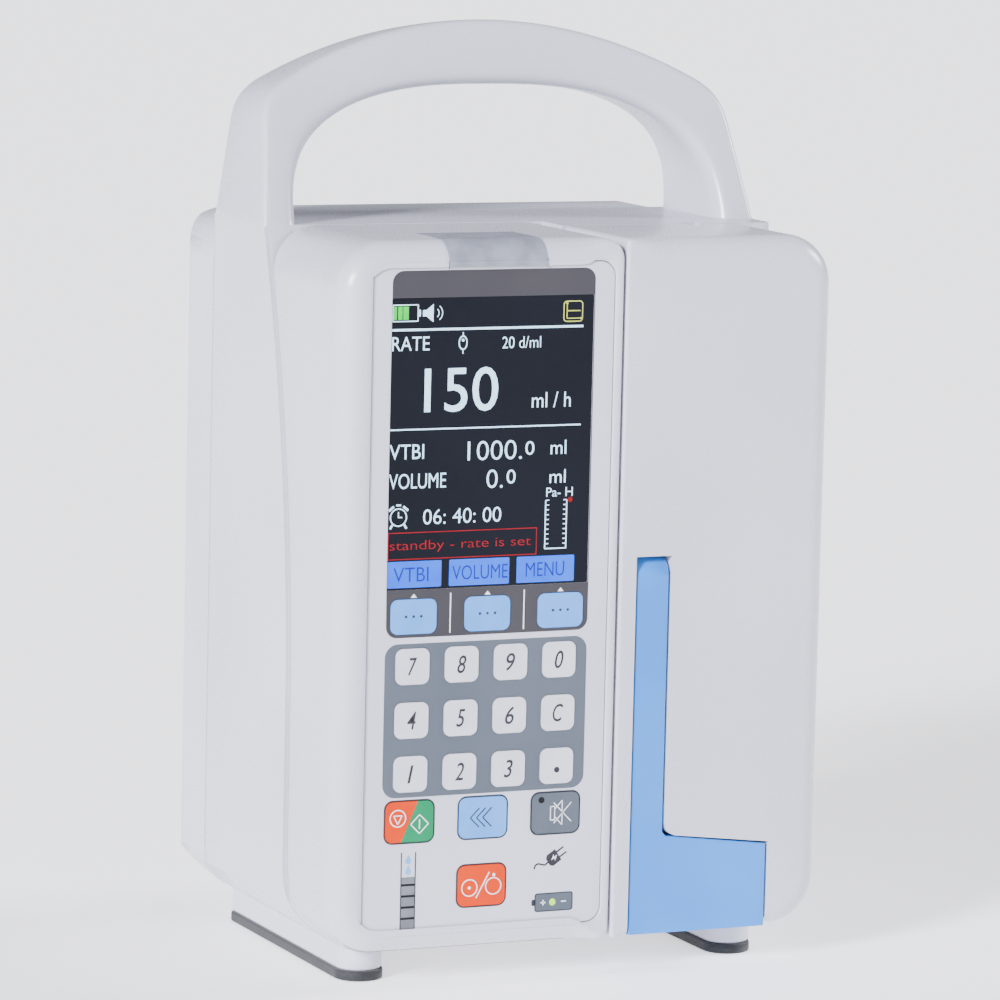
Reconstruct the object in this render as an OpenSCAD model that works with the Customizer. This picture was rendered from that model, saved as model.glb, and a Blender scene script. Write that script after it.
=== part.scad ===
// Volumetric infusion pump with carry handle, hinged door and pole clamp.
// Layout frame: X to the right, Y from the front face to the rear, Z up from the floor.

/* [Body] */
// Width over the front case and the door
body_w = 129; // [115:1:150]
// Depth from the front face to the rear face
body_d = 108; // [104:1:135]
// Height from the underside to the top
body_h = 169.5; // [165:0.5:210]
// Height of the feet under the body
foot_h = 9.5; // [6:0.5:16]
// Wall thickness of the moulded shells
wall = 2.5; // [2:0.1:3]
// Gap between neighbouring mouldings
seam = 0.3; // [0.2:0.05:0.5]
// How far each side band stands proud of the case
band_step = 1; // [0.5:0.1:2]
// Radius of the outer corners seen from the front
corner_r = 12; // [8:0.5:14]
// Radius of the long front edges
edge_r = 6; // [4:0.5:6]
// Depth at which the rear case starts
rear_y = 84; // [82:1:88]

/* [Handle] */
// Height of the handle above the body
handle_rise = 48.2; // [40:0.5:60]
// Height of the finger gap under the handle
handle_gap = 32.5; // [28:0.5:42]
// Thickness of the handle legs
handle_leg = 9.5; // [8:0.5:12]
// How far the top of each leg leans inwards
handle_lean = 4; // [0:0.5:6]
// Radius of the handle's top arc
handle_arc_r = 115; // [100:1:180]

/* [Front panel] */
// Width of the front overlay
overlay_w = 62.5; // [60:0.5:63]
// Height of the front overlay
overlay_h = 160; // [158:0.5:162]
// Distance from the side of the case to the overlay
overlay_inset = 7.5; // [7:0.5:9]
// Thickness of the overlay and the depth of its pocket
overlay_t = 1; // [0.8:0.1:1.2]
// Width of the display window
lcd_w = 52; // [48:0.5:53]
// Height of the display window
lcd_h = 69; // [60:0.5:69]
// Side of a number key
key_w = 8.6; // [7:0.2:9]
// Distance between number key columns
key_pitch_x = 12.66; // [12:0.02:12.9]
// Distance between number key rows
key_pitch_z = 12.89; // [12:0.01:13]
// How far a key travels
key_travel = 0.3; // [0.2:0.05:0.4]
// Gap round each key
key_gap = 0.2; // [0.15:0.05:0.3]

/* [Door] */
// Width of the door
door_w = 56.2; // [54:0.2:60]
// Depth of the door
door_d = 36; // [35:0.5:38]
// Radius of the hinge corner
hinge_r = 4; // [3.8:0.1:4.5]
// Radius of the hinge pins
hinge_pin_r = 2; // [1.5:0.1:2.2]
// Distance from the door's free edge to the lever
lever_inset = 4.9; // [4.5:0.1:5.5]
// Height of the lever, from its foot to its top
lever_h = 92; // [70:1:110]
// Width of the lever's upright
lever_bar_w = 8.4; // [7:0.2:10]
// Width of the lever's foot
lever_foot_w = 36.5; // [30:0.5:40]
// Height of the lever's foot
lever_foot_h = 20.5; // [16:0.5:26]
// Thickness of the lever
lever_t = 7; // [6:0.25:8]

/* [Pump mechanism] */
// Number of pumping fingers
finger_count = 12; // [8:1:12]
// Distance between pumping fingers
finger_pitch = 4.6; // [4.4:0.1:4.8]
// Thickness of a pumping finger
finger_t = 4.2; // [3.8:0.1:4.2]
// Width of a pumping finger
finger_w = 16; // [12:0.5:18]
// Distance from the door's hinge side to the tube
tube_inset = 21.5; // [20:0.5:24]
// Width of the tube channel
tube_w = 5; // [4.6:0.1:6]
// Radius of a cam
cam_r = 6.5; // [5.5:0.1:7]
// Eccentricity of a cam
cam_throw = 1.5; // [1:0.1:1.6]
// Radius of the camshaft
shaft_r = 3; // [2.5:0.1:3.5]
// Gear module
gear_module = 0.8; // [0.7:0.05:0.8]
// Teeth on the motor pinion
pinion_teeth = 15; // [15:1:16]
// Teeth on the camshaft gear
gear_teeth = 45; // [40:1:45]
// Side of the square motor
motor_w = 35; // [28:1:35]
// Height of the motor
motor_h = 26; // [20:1:26]

/* [Pole clamp] */
// Radius of the pole that the jaw is cut for
pole_r = 12.5; // [9:0.5:13]
// Height of the clamp
clamp_h = 40; // [30:1:44]
// Opening travel of the clamp screw
clamp_travel = 10; // [6:1:12]
// Radius of the clamp screw
screw_r = 5; // [4:0.5:6]
// Radius of the clamp knob
knob_r = 17; // [14:0.5:20]

/* [Hidden] */
$fn = 48;
cut = 1;
fit = 0.05;
case_x = body_w / 2;
band_x = case_x + band_step;
z0 = foot_h;
z1 = foot_h + body_h;
lip_h = 2.7;
lip_y = 5;

// Door and the front case beside it
door_x0 = case_x - door_w;
case_x1 = door_x0 - 2 * seam;
bay_y = door_d + 2 * seam;
hinge_x = case_x - hinge_r;
hinge_y = door_d - hinge_r;
ear_t = 2.4;
ear_r = 3.3;
knuckle_h = 7;
hinge_zs = [z0 + 16.5, z1 - 19];

// Front panel
front_wall = 2 + 1.5 * overlay_t;
panel_y = 0.5;
overlay_x0 = -case_x + overlay_inset;
overlay_z0 = z0 + 4.5;
lcd_x0 = overlay_x0 + 5;
lcd_z1 = overlay_z0 + overlay_h - 8.1;
lcd_z0 = lcd_z1 - lcd_h;
key_back = panel_y + overlay_t;
plunger_t = 1.3;
plunger_grow = 0.7;
board_y = max(front_wall, key_back + 0.1 + plunger_t + key_travel + 0.4);
board_t = 1.6;
ledge = 4;
lamp_w = 25.5;
lamp_x = overlay_x0 + 31.75;
lamp_depth = 20.5;
lamp_drop = 4.8;

// Key rows: the number block hangs under the display, the others under the block
soft_z = overlay_z0 + 76.5;
soft_h = 8.3;
number_z = overlay_z0 + 64.57;
number_x = overlay_x0 + 12;
function_z = overlay_z0 + 27.35;
power_z = overlay_z0 + 10.9;
wide_pitch = 1.5 * key_pitch_x;
NUMBERS = [["7", "8", "9", "0"], ["4", "5", "6", "clear"], ["1", "2", "3", "point"]];
KEYS = concat(
    [for (r = [0:2]) for (c = [0:3])
        [str("key_", NUMBERS[r][c]), number_x + c * key_pitch_x, number_z - r * key_pitch_z,
         key_w, key_w, "whitesmoke"]],
    [for (c = [0:2])
        [["key_soft_left", "key_soft_middle", "key_soft_right"][c],
         number_x + c * wide_pitch, soft_z, 11.7, soft_h, "lightskyblue"]],
    [for (c = [0:2])
        [["key_start_stop", "key_bolus", "key_mute"][c],
         number_x + c * wide_pitch, function_z, 12.3, 9.8, ["orangered", "lightskyblue", "gray"][c]]],
    [["key_power", number_x + wide_pitch, power_z, 12.3, 9.8, "orangered"]]
);

// Lever
lever_x0 = door_x0 + lever_inset;
lever_z0 = z0 + 0.5;
lever_y = 0.4;
lever_gap = 0.5;
hub_r = 4.4;
lever_pin_r = 1.5;
pivot_y = lever_y + hub_r;
pivot_z = lever_z0 + lever_h - hub_r;
pocket_y = 9.8;
pocket_wall = 2;
slide_x0 = door_x0 + wall + 0.5;
slide_t = 2;
slide_y = [14, 28];
slide_z = [z0 + 20, z1 - 14];
latch_lift = 5;
hook_h = 8;
hook_tip = door_d + 5;
hook_zs = [z0 + 27, z1 - 30];

// Pump bay
gear_tip = gear_module * (gear_teeth / 2 + 1);
tube_x = case_x - max(tube_inset, wall + gear_tip + 0.2);
inner_y = door_d - 7.5;
inner_t = 2.5;
plate_t = 5;
plate_x0 = door_x0 + 0.5;
plate_x1 = case_x - wall - 0.2;
membrane_t = 0.5;
shaft_y = bay_y + plate_t + 18.4;
finger_z0 = z0 + 59.5;
finger_z1 = finger_z0 + finger_count * finger_pitch;
finger_back = shaft_y - cam_r - cam_throw - 0.3;
shelf_t = 4;
motor_shelf_z = z0 + 36.5;
motor_shelf_t = 3;
gear_z = motor_shelf_z + motor_shelf_t + 2;
gear_h = 6;
lower_shelf_z = gear_z + gear_h + 3;
upper_shelf_z = finger_z1 + 5.8;
centre_distance = gear_module * (pinion_teeth + gear_teeth) / 2;
motor_x = tube_x - centre_distance / 2;
motor_y = shaft_y + centre_distance * sqrt(3) / 2;
bearing_r = 6.5;
bearing_h = shelf_t;
platen_gap = 4.6;
platen_t = 4.8;
platen_y1 = bay_y - membrane_t - platen_gap;
platen_float = 0.8;
platen_w = finger_w + 4;
platen_z = [finger_z0 - 4, finger_z1 + 4];
tray_y = platen_y1 - platen_t - 8;
sensor_zs = [z0 + 44.5, finger_z1 + 10];
sensor_r = 4.5;
bubble_z = finger_z1 + 16;
flow_clamp_z = z0 + 19;
flow_clamp_h = 5;

// Rear
boss_r = 4;
screw_shank_r = 1.5;
screw_bore_r = 1.6;
screw_head_r = 2.8;
screw_head_h = 2.4;
boss_x = case_x - wall - boss_r + 0.5;
boss_zs = [z0 + 18.5, z1 - 11];
screw_seat_y = body_d - 11;
clamp_z = z0 + 105.5;
saddle_y = body_d + 17;
clamp_arm_x = pole_r + 13.5;
clamp_arm_h = clamp_h / 2 - 8;
clamp_base_t = 6;
clamp_screw_x = pole_r + 6.3;
clamp_screw_z = clamp_h / 2 - 4;
clamp_seat_y = body_d + 3;
pad_y = saddle_y + pole_r + seam;
pad_t = 4;
cross_y = pad_y + pad_t + clamp_travel + 0.5;
cross_t = 9;
knob_y = cross_y + cross_t + 1.5;
knob_t = 13;
depth = knob_y + knob_t;
rear_rise = 10.5;
battery_z = z1 - 24;

// ---------- helpers ----------

module place() { translate([0, -depth / 2, 0]) children(); }

module block(x, y, z) {
    translate([x[0], y[0], z[0]]) cube([x[1] - x[0], y[1] - y[0], z[1] - z[0]]);
}

// Rectangle with its own radius at each corner: low-low, high-low, high-high, low-high
module rounded(a, b, r) {
    difference() {
        translate([a[0], b[0]]) square([a[1] - a[0], b[1] - b[0]]);
        for (i = [0:3]) {
            high_a = i == 1 || i == 2;
            high_b = i >= 2;
            if (r[i] > 0) difference() {
                translate([high_a ? a[1] - r[i] : a[0] - cut, high_b ? b[1] - r[i] : b[0] - cut])
                    square(r[i] + cut);
                translate([high_a ? a[1] - r[i] : a[0] + r[i], high_b ? b[1] - r[i] : b[0] + r[i]])
                    circle(r[i]);
            }
        }
    }
}

// A flat outline in X and Z, as thick as y
module front_plate(y) {
    translate([0, y[1], 0]) rotate([90, 0, 0]) linear_extrude(y[1] - y[0]) children();
}

// A flat outline in Y and Z, as wide as x
module side_plate(x) {
    translate([x[0], 0, 0]) rotate([90, 0, 90]) linear_extrude(x[1] - x[0]) children();
}

// A flat outline in X and Y, as high as z
module flat_plate(z) {
    translate([0, 0, z[0]]) linear_extrude(z[1] - z[0]) children();
}

module rod_x(x, y, z, r) { translate([x[0], y, z]) rotate([0, 90, 0]) cylinder(h = x[1] - x[0], r = r); }
module rod_y(x, y, z, r) { translate([x, y[0], z]) rotate([-90, 0, 0]) cylinder(h = y[1] - y[0], r = r); }
module rod_z(x, y, z, r) { translate([x, y, z[0]]) cylinder(h = z[1] - z[0], r = r); }

// Front edge of the side band: upright low down, sweeping back towards the handle
function sweep(z) = 29.4 + 19 * pow(max(0, z - z0 - 56.5) / (body_h - 56.5), 2);
lip_r = 15;
function lip_arc(grow) = [for (a = [0:10:90])
    [sweep(z0) - lip_r + (lip_r - grow) * sin(a), z0 + lip_h + lip_r - (lip_r - grow) * cos(a)]];
function band_edge(grow) = concat(lip_arc(grow),
    [for (i = [1:16]) let (z = z0 + lip_h + lip_r + (body_h - lip_h - lip_r) * i / 16)
        [sweep(z) - grow, z]]);

// ---------- shells ----------

// Body of the front case, shrunk inwards by t
module front_block(t) {
    r = corner_r - t;
    e = edge_r - t;
    x = [-case_x + t, case_x1 - t];
    z = [z0 + t, z1 - t];
    intersection() {
        front_plate([t > 0 ? front_wall : 0, rear_y]) rounded(x, z, [r, 3, 4, r]);
        flat_plate(z) rounded(x, [t > 0 ? front_wall : 0, rear_y], [e, 0.8, 0, 0]);
        side_plate(x) rounded([t > 0 ? front_wall : 0, rear_y], z, [e, 0, 0, e]);
    }
}

module lamp_zone(grow) {
    block([lamp_x - lamp_w / 2 - grow, lamp_x + lamp_w / 2 + grow], [-cut, lamp_depth + grow],
        [z1 - lamp_drop - grow, z1 + cut]);
}

module front_case() color("gainsboro") place() difference() {
    intersection() {
        front_block(0);
        side_plate([-case_x - cut, case_x]) polygon(concat(
            [[-cut, z1 + cut], [-cut, z0 - cut], [lip_y - seam, z0 - cut],
                [lip_y - seam, z0 + lip_h + seam]],
            band_edge(seam), [[sweep(z1) - seam, z1 + cut]]));
    }
    front_block(wall);
    front_plate([-cut, key_back]) overlay_outline();
    front_plate([0, front_wall + cut]) window_outline(0.3);
    front_plate([0, front_wall + cut])
        rounded([overlay_x0 + ledge, overlay_x0 + overlay_w - ledge],
            [overlay_z0 + ledge, soft_z + soft_h / 2 + plunger_grow + 0.25], [2, 2, 2, 2]);
    lamp_zone(0.1);
}

module overlay_outline() {
    rounded([overlay_x0, overlay_x0 + overlay_w], [overlay_z0, overlay_z0 + overlay_h], [4, 4, 4, 4]);
}

module window_outline(grow) {
    rounded([lcd_x0 - grow, lcd_x0 + lcd_w + grow], [lcd_z0 - grow, lcd_z1 + grow], [1, 1, 1, 1]);
}

// Plan of the middle housing, shrunk inwards by t: flat side bands that taper to the rear case
module housing_plan(t) {
    taper = 16;
    polygon([
        [-band_x + t, 0], [band_x - t, 0],
        [band_x - t, rear_y - taper], [case_x - t, rear_y], [-case_x + t, rear_y],
        [-band_x + t, rear_y - taper]]);
}

// Front view of the middle housing: rounded underneath, square where the handle stands on it
module housing_front() {
    rounded([-band_x, band_x], [z0, z1], [corner_r, corner_r, 1, 1]);
}

// Front view of its hollow
hollow_r = corner_r - wall - band_step;
module housing_hollow() {
    x = band_x - wall - band_step;
    rounded([-x, x], [z0 + wall, z1 - wall], [hollow_r, hollow_r, 0, 0]);
}

module main_housing() color("whitesmoke") place() difference() {
    union() {
        difference() {
            intersection() {
                flat_plate([z0, z1]) housing_plan(0);
                side_plate([-band_x - cut, band_x + cut]) polygon(concat(
                    [[rear_y, z1], [rear_y, z0], [lip_y, z0], [lip_y, z0 + lip_h]], band_edge(0)));
                front_plate([0, rear_y]) housing_front();
                flat_plate([z0, z1]) rounded([-band_x, band_x], [lip_y, rear_y], [edge_r, edge_r, 0, 0]);
            }
            intersection() {
                flat_plate([z0, z1]) housing_plan(wall + band_step);
                front_plate([0, rear_y + cut]) housing_hollow();
            }
            block([case_x1, band_x + cut], [-cut, bay_y + 30], [z0 - cut, z1 + cut]);
        }
        bay_surround();
        for (x = [-boss_x, boss_x], z = boss_zs) rod_y(x, [rear_y - 14, rear_y], z, boss_r);
    }
    for (x = [-boss_x, boss_x], z = boss_zs) rod_y(x, [rear_y - 12, rear_y + cut], z, screw_bore_r);
    for (s = [-1, 1]) handle_tenon(s, 0.15);
    tube_slot();
    speaker_grille();
}

// Right half of the housing, behind the door
module bay_surround() {
    intersection() {
        flat_plate([z0, z1]) housing_plan(0);
        front_plate([0, rear_y]) housing_front();
        difference() {
            // The front right edge is cut back for the open door
            flat_plate([z0, z1]) polygon([[case_x1, bay_y], [band_x - 3, bay_y], [band_x, bay_y + 3],
                [band_x, bay_y + 30], [case_x1, bay_y + 30]]);
            front_plate([bay_y - cut, bay_y + 31]) housing_hollow();
        }
    }
}

module tube_slot() {
    block([tube_x - tube_w / 2, tube_x + tube_w / 2], [inner_y + inner_t, bay_y + 4],
        [z1 - wall - cut, z1 + cut]);
    block([tube_x - tube_w / 2, tube_x + tube_w / 2], [inner_y + inner_t, bay_y + 4],
        [z0 - cut, z0 + wall + cut]);
}

speaker_x = -28;
speaker_y = 56;
module speaker_grille() {
    for (ring = [0:2], i = [0:max(0, 6 * ring - 1)])
        rod_z(speaker_x + 3.6 * ring * cos(60 * i / max(1, ring)),
            speaker_y + 3.6 * ring * sin(60 * i / max(1, ring)), [z0 - cut, z0 + wall + cut], 1);
}

// Arch of the handle in X and Z
handle_r_z = z1 + handle_rise - handle_arc_r;
shoulder_x = band_x - handle_lean;
shoulder_z = handle_r_z + sqrt(pow(handle_arc_r, 2) - pow(shoulder_x, 2));
gap_x = band_x - handle_leg;
module handle_profile() {
    difference() {
        intersection() {
            polygon([
                [-band_x, z1], [band_x, z1], [shoulder_x, shoulder_z],
                [shoulder_x, z1 + handle_rise + cut], [-shoulder_x, z1 + handle_rise + cut],
                [-shoulder_x, shoulder_z]]);
            translate([0, handle_r_z]) circle(handle_arc_r, $fn = 180);
        }
        // The finger gap is a superellipse standing on the body
        polygon(concat([[gap_x, z1 - cut]],
            [for (a = [0:7.5:180]) [
                gap_x * sign(cos(a)) * pow(abs(cos(a)), 2 / 2.6),
                z1 + handle_gap * pow(sin(a), 2 / 2.6)]],
            [[-gap_x, z1 - cut]]));
    }
}

module handle_tenon(side, grow) {
    x = side * (band_x - handle_leg / 2);
    half = handle_leg / 2 - wall + 0.6 + grow;
    block([x - half, x + half], [sweep(z1) + 6 - grow, rear_y - 16 + grow],
        [z1 - 14, z1 + (grow > 0 ? cut : 0)]);
}

module carry_handle() color("gainsboro") place() {
    intersection() {
        front_plate([0, rear_y]) handle_profile();
        flat_plate([z1, z1 + handle_rise + cut]) housing_plan(0);
        side_plate([-band_x, band_x]) polygon(concat(
            [for (i = [0:8]) let (z = z1 + handle_rise * i / 8) [sweep(z), z]],
            [[rear_y - 3, z1 + handle_rise], [rear_y, z1]]));
    }
    for (s = [-1, 1]) handle_tenon(s, 0);
}

// Body of the rear case, shrunk inwards by t
module rear_block(t) {
    r = corner_r - t;
    e = 9 - t;
    x = [-case_x + t, case_x - t];
    y = [rear_y + seam - (t > 0 ? cut : 0), body_d - t];
    z = [z0 + t, z1 - t];
    intersection() {
        front_plate(y) rounded(x, z, [r, r, r, r]);
        flat_plate(z) rounded(x, y, [0, 0, e, e]);
        side_plate(x) difference() {
            rounded(y, z, [0, 0, 5, 0]);
            polygon([[rear_y, z0 - cut], [rear_y, z0 + t], [body_d, z0 + rear_rise + t * 1.1],
                [body_d + cut, z0 - cut]]);
        }
    }
}

inlet_x = -38;
inlet_z = z0 + 31.5;
socket_z = z0 + 61;
cover_x = 47;
cover_z = [battery_z - 19, battery_z + 15];
module rear_case() color("gainsboro") place() difference() {
    union() {
        difference() {
            rear_block(0);
            rear_block(wall);
        }
        intersection() {
            rear_block(0);
            union() {
                for (x = [-boss_x, boss_x], z = boss_zs) rod_y(x, [rear_y, body_d], z, boss_r + 1);
                at_clamp_screws() rod_y(0, [body_d - 11, body_d], 0, boss_r);
            }
        }
    }
    for (x = [-boss_x, boss_x], z = boss_zs) {
        rod_y(x, [rear_y - cut, body_d], z, screw_bore_r);
        rod_y(x, [screw_seat_y, body_d + cut], z, screw_head_r + 0.3);
    }
    front_plate([body_d - wall - cut, body_d + cut])
        rounded([inlet_x - 13.8, inlet_x + 13.8], [inlet_z - 9.9, inlet_z + 9.9], [2, 2, 2, 2]);
    front_plate([body_d - wall - cut, body_d + cut])
        rounded([inlet_x - 10, inlet_x + 10], [socket_z - 5.5, socket_z + 5.5], [2, 2, 2, 2]);
    front_plate([body_d - 1.5, body_d + cut])
        rounded([-cover_x, cover_x], cover_z, [3, 3, 3, 3]);
    front_plate([body_d - wall - cut, body_d + cut])
        rounded([-cover_x + 4, cover_x - 4], [cover_z[0] + 3, cover_z[1] - 3], [2, 2, 2, 2]);
    at_clamp_screws() rod_y(0, [body_d - 9.5, body_d + cut], 0, screw_bore_r);
    // Ventilation slots low on the right
    for (i = [0:5]) front_plate([body_d - wall - cut, body_d + cut])
        rounded([20 + 5 * i, 22 + 5 * i], [z0 + 27, z0 + 51], [0.9, 0.9, 0.9, 0.9]);
}

// ---------- feet ----------

foot_in = 43.5;
foot_w = 11.5;
foot_y = [14.5, 90];
pad_h = 2.5;
module foot_plan(shrink) {
    r = foot_w / 2;
    rounded([foot_in + shrink, foot_in + foot_w - shrink], [foot_y[0] + shrink, foot_y[1] - shrink],
        [r - shrink, r - shrink, 2, 2]);
}

module foot_skids() color("gainsboro") place() for (s = [0, 1]) mirror([s, 0, 0]) intersection() {
    flat_plate([pad_h, z0 + 6]) foot_plan(0);
    side_plate([foot_in - cut, foot_in + foot_w + cut]) polygon([
        [0, 0], [foot_y[1] + cut, 0],
        [foot_y[1] + cut, z0 + rear_rise * (foot_y[1] + cut - rear_y) / (body_d - rear_y)],
        [rear_y, z0], [0, z0]]);
}

module foot_pads() color("#181818") place() for (s = [0, 1]) mirror([s, 0, 0])
    flat_plate([0, pad_h]) foot_plan(-0.3);

// ---------- front panel ----------

module key_outline(k, grow) {
    rounded([k[1] - k[3] / 2 - grow, k[1] + k[3] / 2 + grow],
        [k[2] - k[4] / 2 - grow, k[2] + k[4] / 2 + grow], [1.8, 1.8, 1.8, 1.8]);
}

module front_overlay() color("lightgray") place() front_plate([panel_y, key_back]) difference() {
    overlay_outline();
    window_outline(0);
    for (k = KEYS) key_outline(k, key_gap);
}

module lcd_window() color("#303848") place() front_plate([panel_y + 0.1, key_back]) window_outline(0);

module lcd_module() color("#202430") place() {
    front_plate([key_back + 0.4, front_wall + 1]) window_outline(-0.4);
    block([lcd_x0 - 1.5, lcd_x0 + lcd_w + 1.5], [front_wall + 1, front_wall + 5],
        [lcd_z0 - 1.5, lcd_z1 + 1.5]);
}

// A key: its cap, and a wider plunger behind the overlay
module key(k) color(k[5]) place() {
    front_plate([panel_y - 0.2, key_back + 0.1]) key_outline(k, 0);
    front_plate([key_back + 0.1, key_back + 0.1 + plunger_t]) key_outline(k, plunger_grow);
}

module keypad_board() color("darkgreen") place() {
    x = [overlay_x0 + 1, min(overlay_x0 + overlay_w - 1, case_x1 - wall - 0.7)];
    block(x, [board_y, board_y + board_t],
        [overlay_z0 + 1.6, lcd_z0 - 2.2]);
    for (k = KEYS) rod_y(k[1], [board_y - 0.3, board_y], k[2], 2.5);
}

module alarm_lamp() color("silver") place() difference() {
    intersection() {
        front_block(0);
        lamp_zone(0);
    }
    front_block(wall);
}

// ---------- electronics ----------

main_board_y = 14;
module main_board() color("darkgreen") place() {
    x = [overlay_x0 + 1, case_x1 - wall - 1.5];
    block(x, [main_board_y, main_board_y + board_t], [z0 + 22, z1 - 10]);
    back = main_board_y + board_t;
    block([-35, -21], [back, back + 1.6], [z0 + 90, z0 + 104]);
    block([-12, -2], [back, back + 1.2], [z0 + 96, z0 + 106]);
    block([-50, -40], [back, back + 1.2], [z0 + 84, z0 + 100]);
    for (i = [0:2]) block([-48 + 16 * i, -38 + 16 * i], [back, back + 5], [z0 + 28, z0 + 33]);
    for (i = [0:3]) rod_y(-46 + 12 * i, [back, back + 8], z0 + 135, 3.2);
    block([-30, -14], [back, back + 3], [z0 + 58, z0 + 66]);
}

power_y = 72;
module power_board() color("darkgreen") place() {
    block([0.5 + boss_r - boss_x, 2], [power_y, power_y + board_t], [z0 + 14, z0 + 116]);
    back = power_y + board_t;
    block([-48, -20], [back, back + 14], [z0 + 86, z0 + 112]);
    for (i = [0:1]) rod_y(-8, [back, back + 18], z0 + 30 + 22 * i, 7);
    block([-14, -2], [back, back + 12], [z0 + 78, z0 + 84]);
    block([-50, -30], [back, back + 9], [z0 + 72, z0 + 80]);
    for (i = [0:2]) rod_y(-12 + 5 * i, [back, back + 6], z0 + 98, 2);
}

battery_x = 42;
battery_y = [rear_y + 2, body_d - 3];
module battery_pack() color("royalblue") place() {
    cells = 2 * floor(battery_x / 18.6);
    cell_r = 9;
    for (i = [0:cells - 1]) rod_z(
        (i - (cells - 1) / 2) * 2 * cell_r * 1.02, battery_y[1] - cell_r - 0.5,
        [battery_z - 12.8, battery_z + 11], cell_r);
    block([-battery_x + 4, battery_x - 4], [battery_y[0] - 1, battery_y[1] - cell_r - 4],
        [battery_z - 12, battery_z + 10]);
}

module battery_cover() color("lightgray") place() {
    front_plate([body_d - 1.5, body_d]) difference() {
        rounded([-cover_x + seam, cover_x - seam], [cover_z[0] + seam, cover_z[1] - seam], [3, 3, 3, 3]);
        for (i = [-2:2]) translate([0, battery_z - 2 + 3.2 * i]) square([26, 1], center = true);
    }
}

module speaker() color("#303030") place() {
    rod_z(speaker_x, speaker_y, [z0 + wall, z0 + wall + 2], 14);
    rod_z(speaker_x, speaker_y, [z0 + wall + 2, z0 + wall + 6], 10);
}

module mains_inlet() color("#202020") place() difference() {
    union() {
        front_plate([body_d - 22, body_d])
            rounded([inlet_x - 13.5, inlet_x + 13.5], [inlet_z - 9.6, inlet_z + 9.6], [2, 2, 2, 2]);
        front_plate([body_d, body_d + 1.5])
            rounded([inlet_x - 15.5, inlet_x + 15.5], [inlet_z - 11.5, inlet_z + 11.5], [3, 3, 3, 3]);
    }
    front_plate([body_d - 16, body_d + 2])
        rounded([inlet_x - 12, inlet_x + 12], [inlet_z - 8, inlet_z + 8], [1, 1, 4, 4]);
}

module data_socket() color("silver") place() difference() {
    union() {
        front_plate([body_d - 12, body_d])
            rounded([inlet_x - 9.8, inlet_x + 9.8], [socket_z - 5.3, socket_z + 5.3], [2, 2, 2, 2]);
        front_plate([body_d, body_d + 1])
            rounded([inlet_x - 15, inlet_x + 15], [socket_z - 6.2, socket_z + 6.2], [1, 1, 1, 1]);
    }
    front_plate([body_d - 6, body_d + 2])
        rounded([inlet_x - 8.2, inlet_x + 8.2], [socket_z - 4, socket_z + 4], [2, 2, 1, 1]);
}

// ---------- pump mechanism ----------

module pump_chassis() color("lightsteelblue") place() difference() {
    union() {
        front_plate([bay_y, bay_y + plate_t]) rounded([plate_x0, plate_x1],
            [z0 + wall + 0.5, z1 - wall - 0.5], [1, hollow_r + 0.5, 1, 1]);
        block([tube_x - 15, plate_x1 - 2], [bay_y + plate_t, shaft_y + 10],
            [upper_shelf_z, upper_shelf_z + shelf_t]);
        block([tube_x - 15, plate_x1 - 2], [bay_y + plate_t, shaft_y + 10],
            [lower_shelf_z, lower_shelf_z + shelf_t]);
        block([motor_x - motor_w / 2, plate_x1 - 2], [bay_y + plate_t, motor_y + motor_w / 2],
            [motor_shelf_z, motor_shelf_z + motor_shelf_t]);
    }
    block([tube_x - finger_w / 2 - 0.3, tube_x + finger_w / 2 + 0.3], [bay_y - cut, bay_y + plate_t + cut],
        [finger_z0 - 1, finger_z1 + 1]);
    for (z = [lower_shelf_z, upper_shelf_z])
        rod_z(tube_x, shaft_y, [z - cut, z + shelf_t + cut], bearing_r + fit);
    rod_z(motor_x, motor_y, [motor_shelf_z - cut, motor_shelf_z + motor_shelf_t + cut], 8);
    for (z = sensor_zs) rod_y(tube_x, [bay_y - cut, bay_y + plate_t + cut], z, sensor_r + fit);
    block([tube_x - 5.3, tube_x + 5.3], [bay_y - cut, bay_y + plate_t + cut],
        [flow_clamp_z - 0.3, flow_clamp_z + flow_clamp_h + 0.3]);
    for (z = hook_zs) block([slide_x0 - 1, slide_x0 + slide_t + 1], [bay_y - cut, bay_y + plate_t + cut],
        [z - 1, z + hook_h + latch_lift + 1]);
    for (z = hinge_zs) block([hinge_x - 3.6, plate_x1 + cut], [bay_y - cut, bay_y + plate_t + cut],
        [z - 0.3, z + ear_t + 0.3]);
    // The tube lies over shallow slots at the top and bottom
    for (z = [z0 + wall, z1 - wall - 6])
        block([tube_x - tube_w / 2, tube_x + tube_w / 2], [bay_y - cut, bay_y + 2], [z, z + 6]);
}

module stepper_motor() color("dimgray") place() {
    top = motor_shelf_z;
    difference() {
        flat_plate([top - motor_h, top]) rounded(
            [motor_x - motor_w / 2, motor_x + motor_w / 2], [motor_y - motor_w / 2, motor_y + motor_w / 2],
            [3, 3, 3, 3]);
        rod_z(motor_x, motor_y, [top - 6, top + cut], 2.5 + fit);
    }
    difference() {
        rod_z(motor_x, motor_y, [top, top + 2], 7.5);
        rod_z(motor_x, motor_y, [top - cut, top + 3], 2.5 + fit);
    }
}

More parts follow.
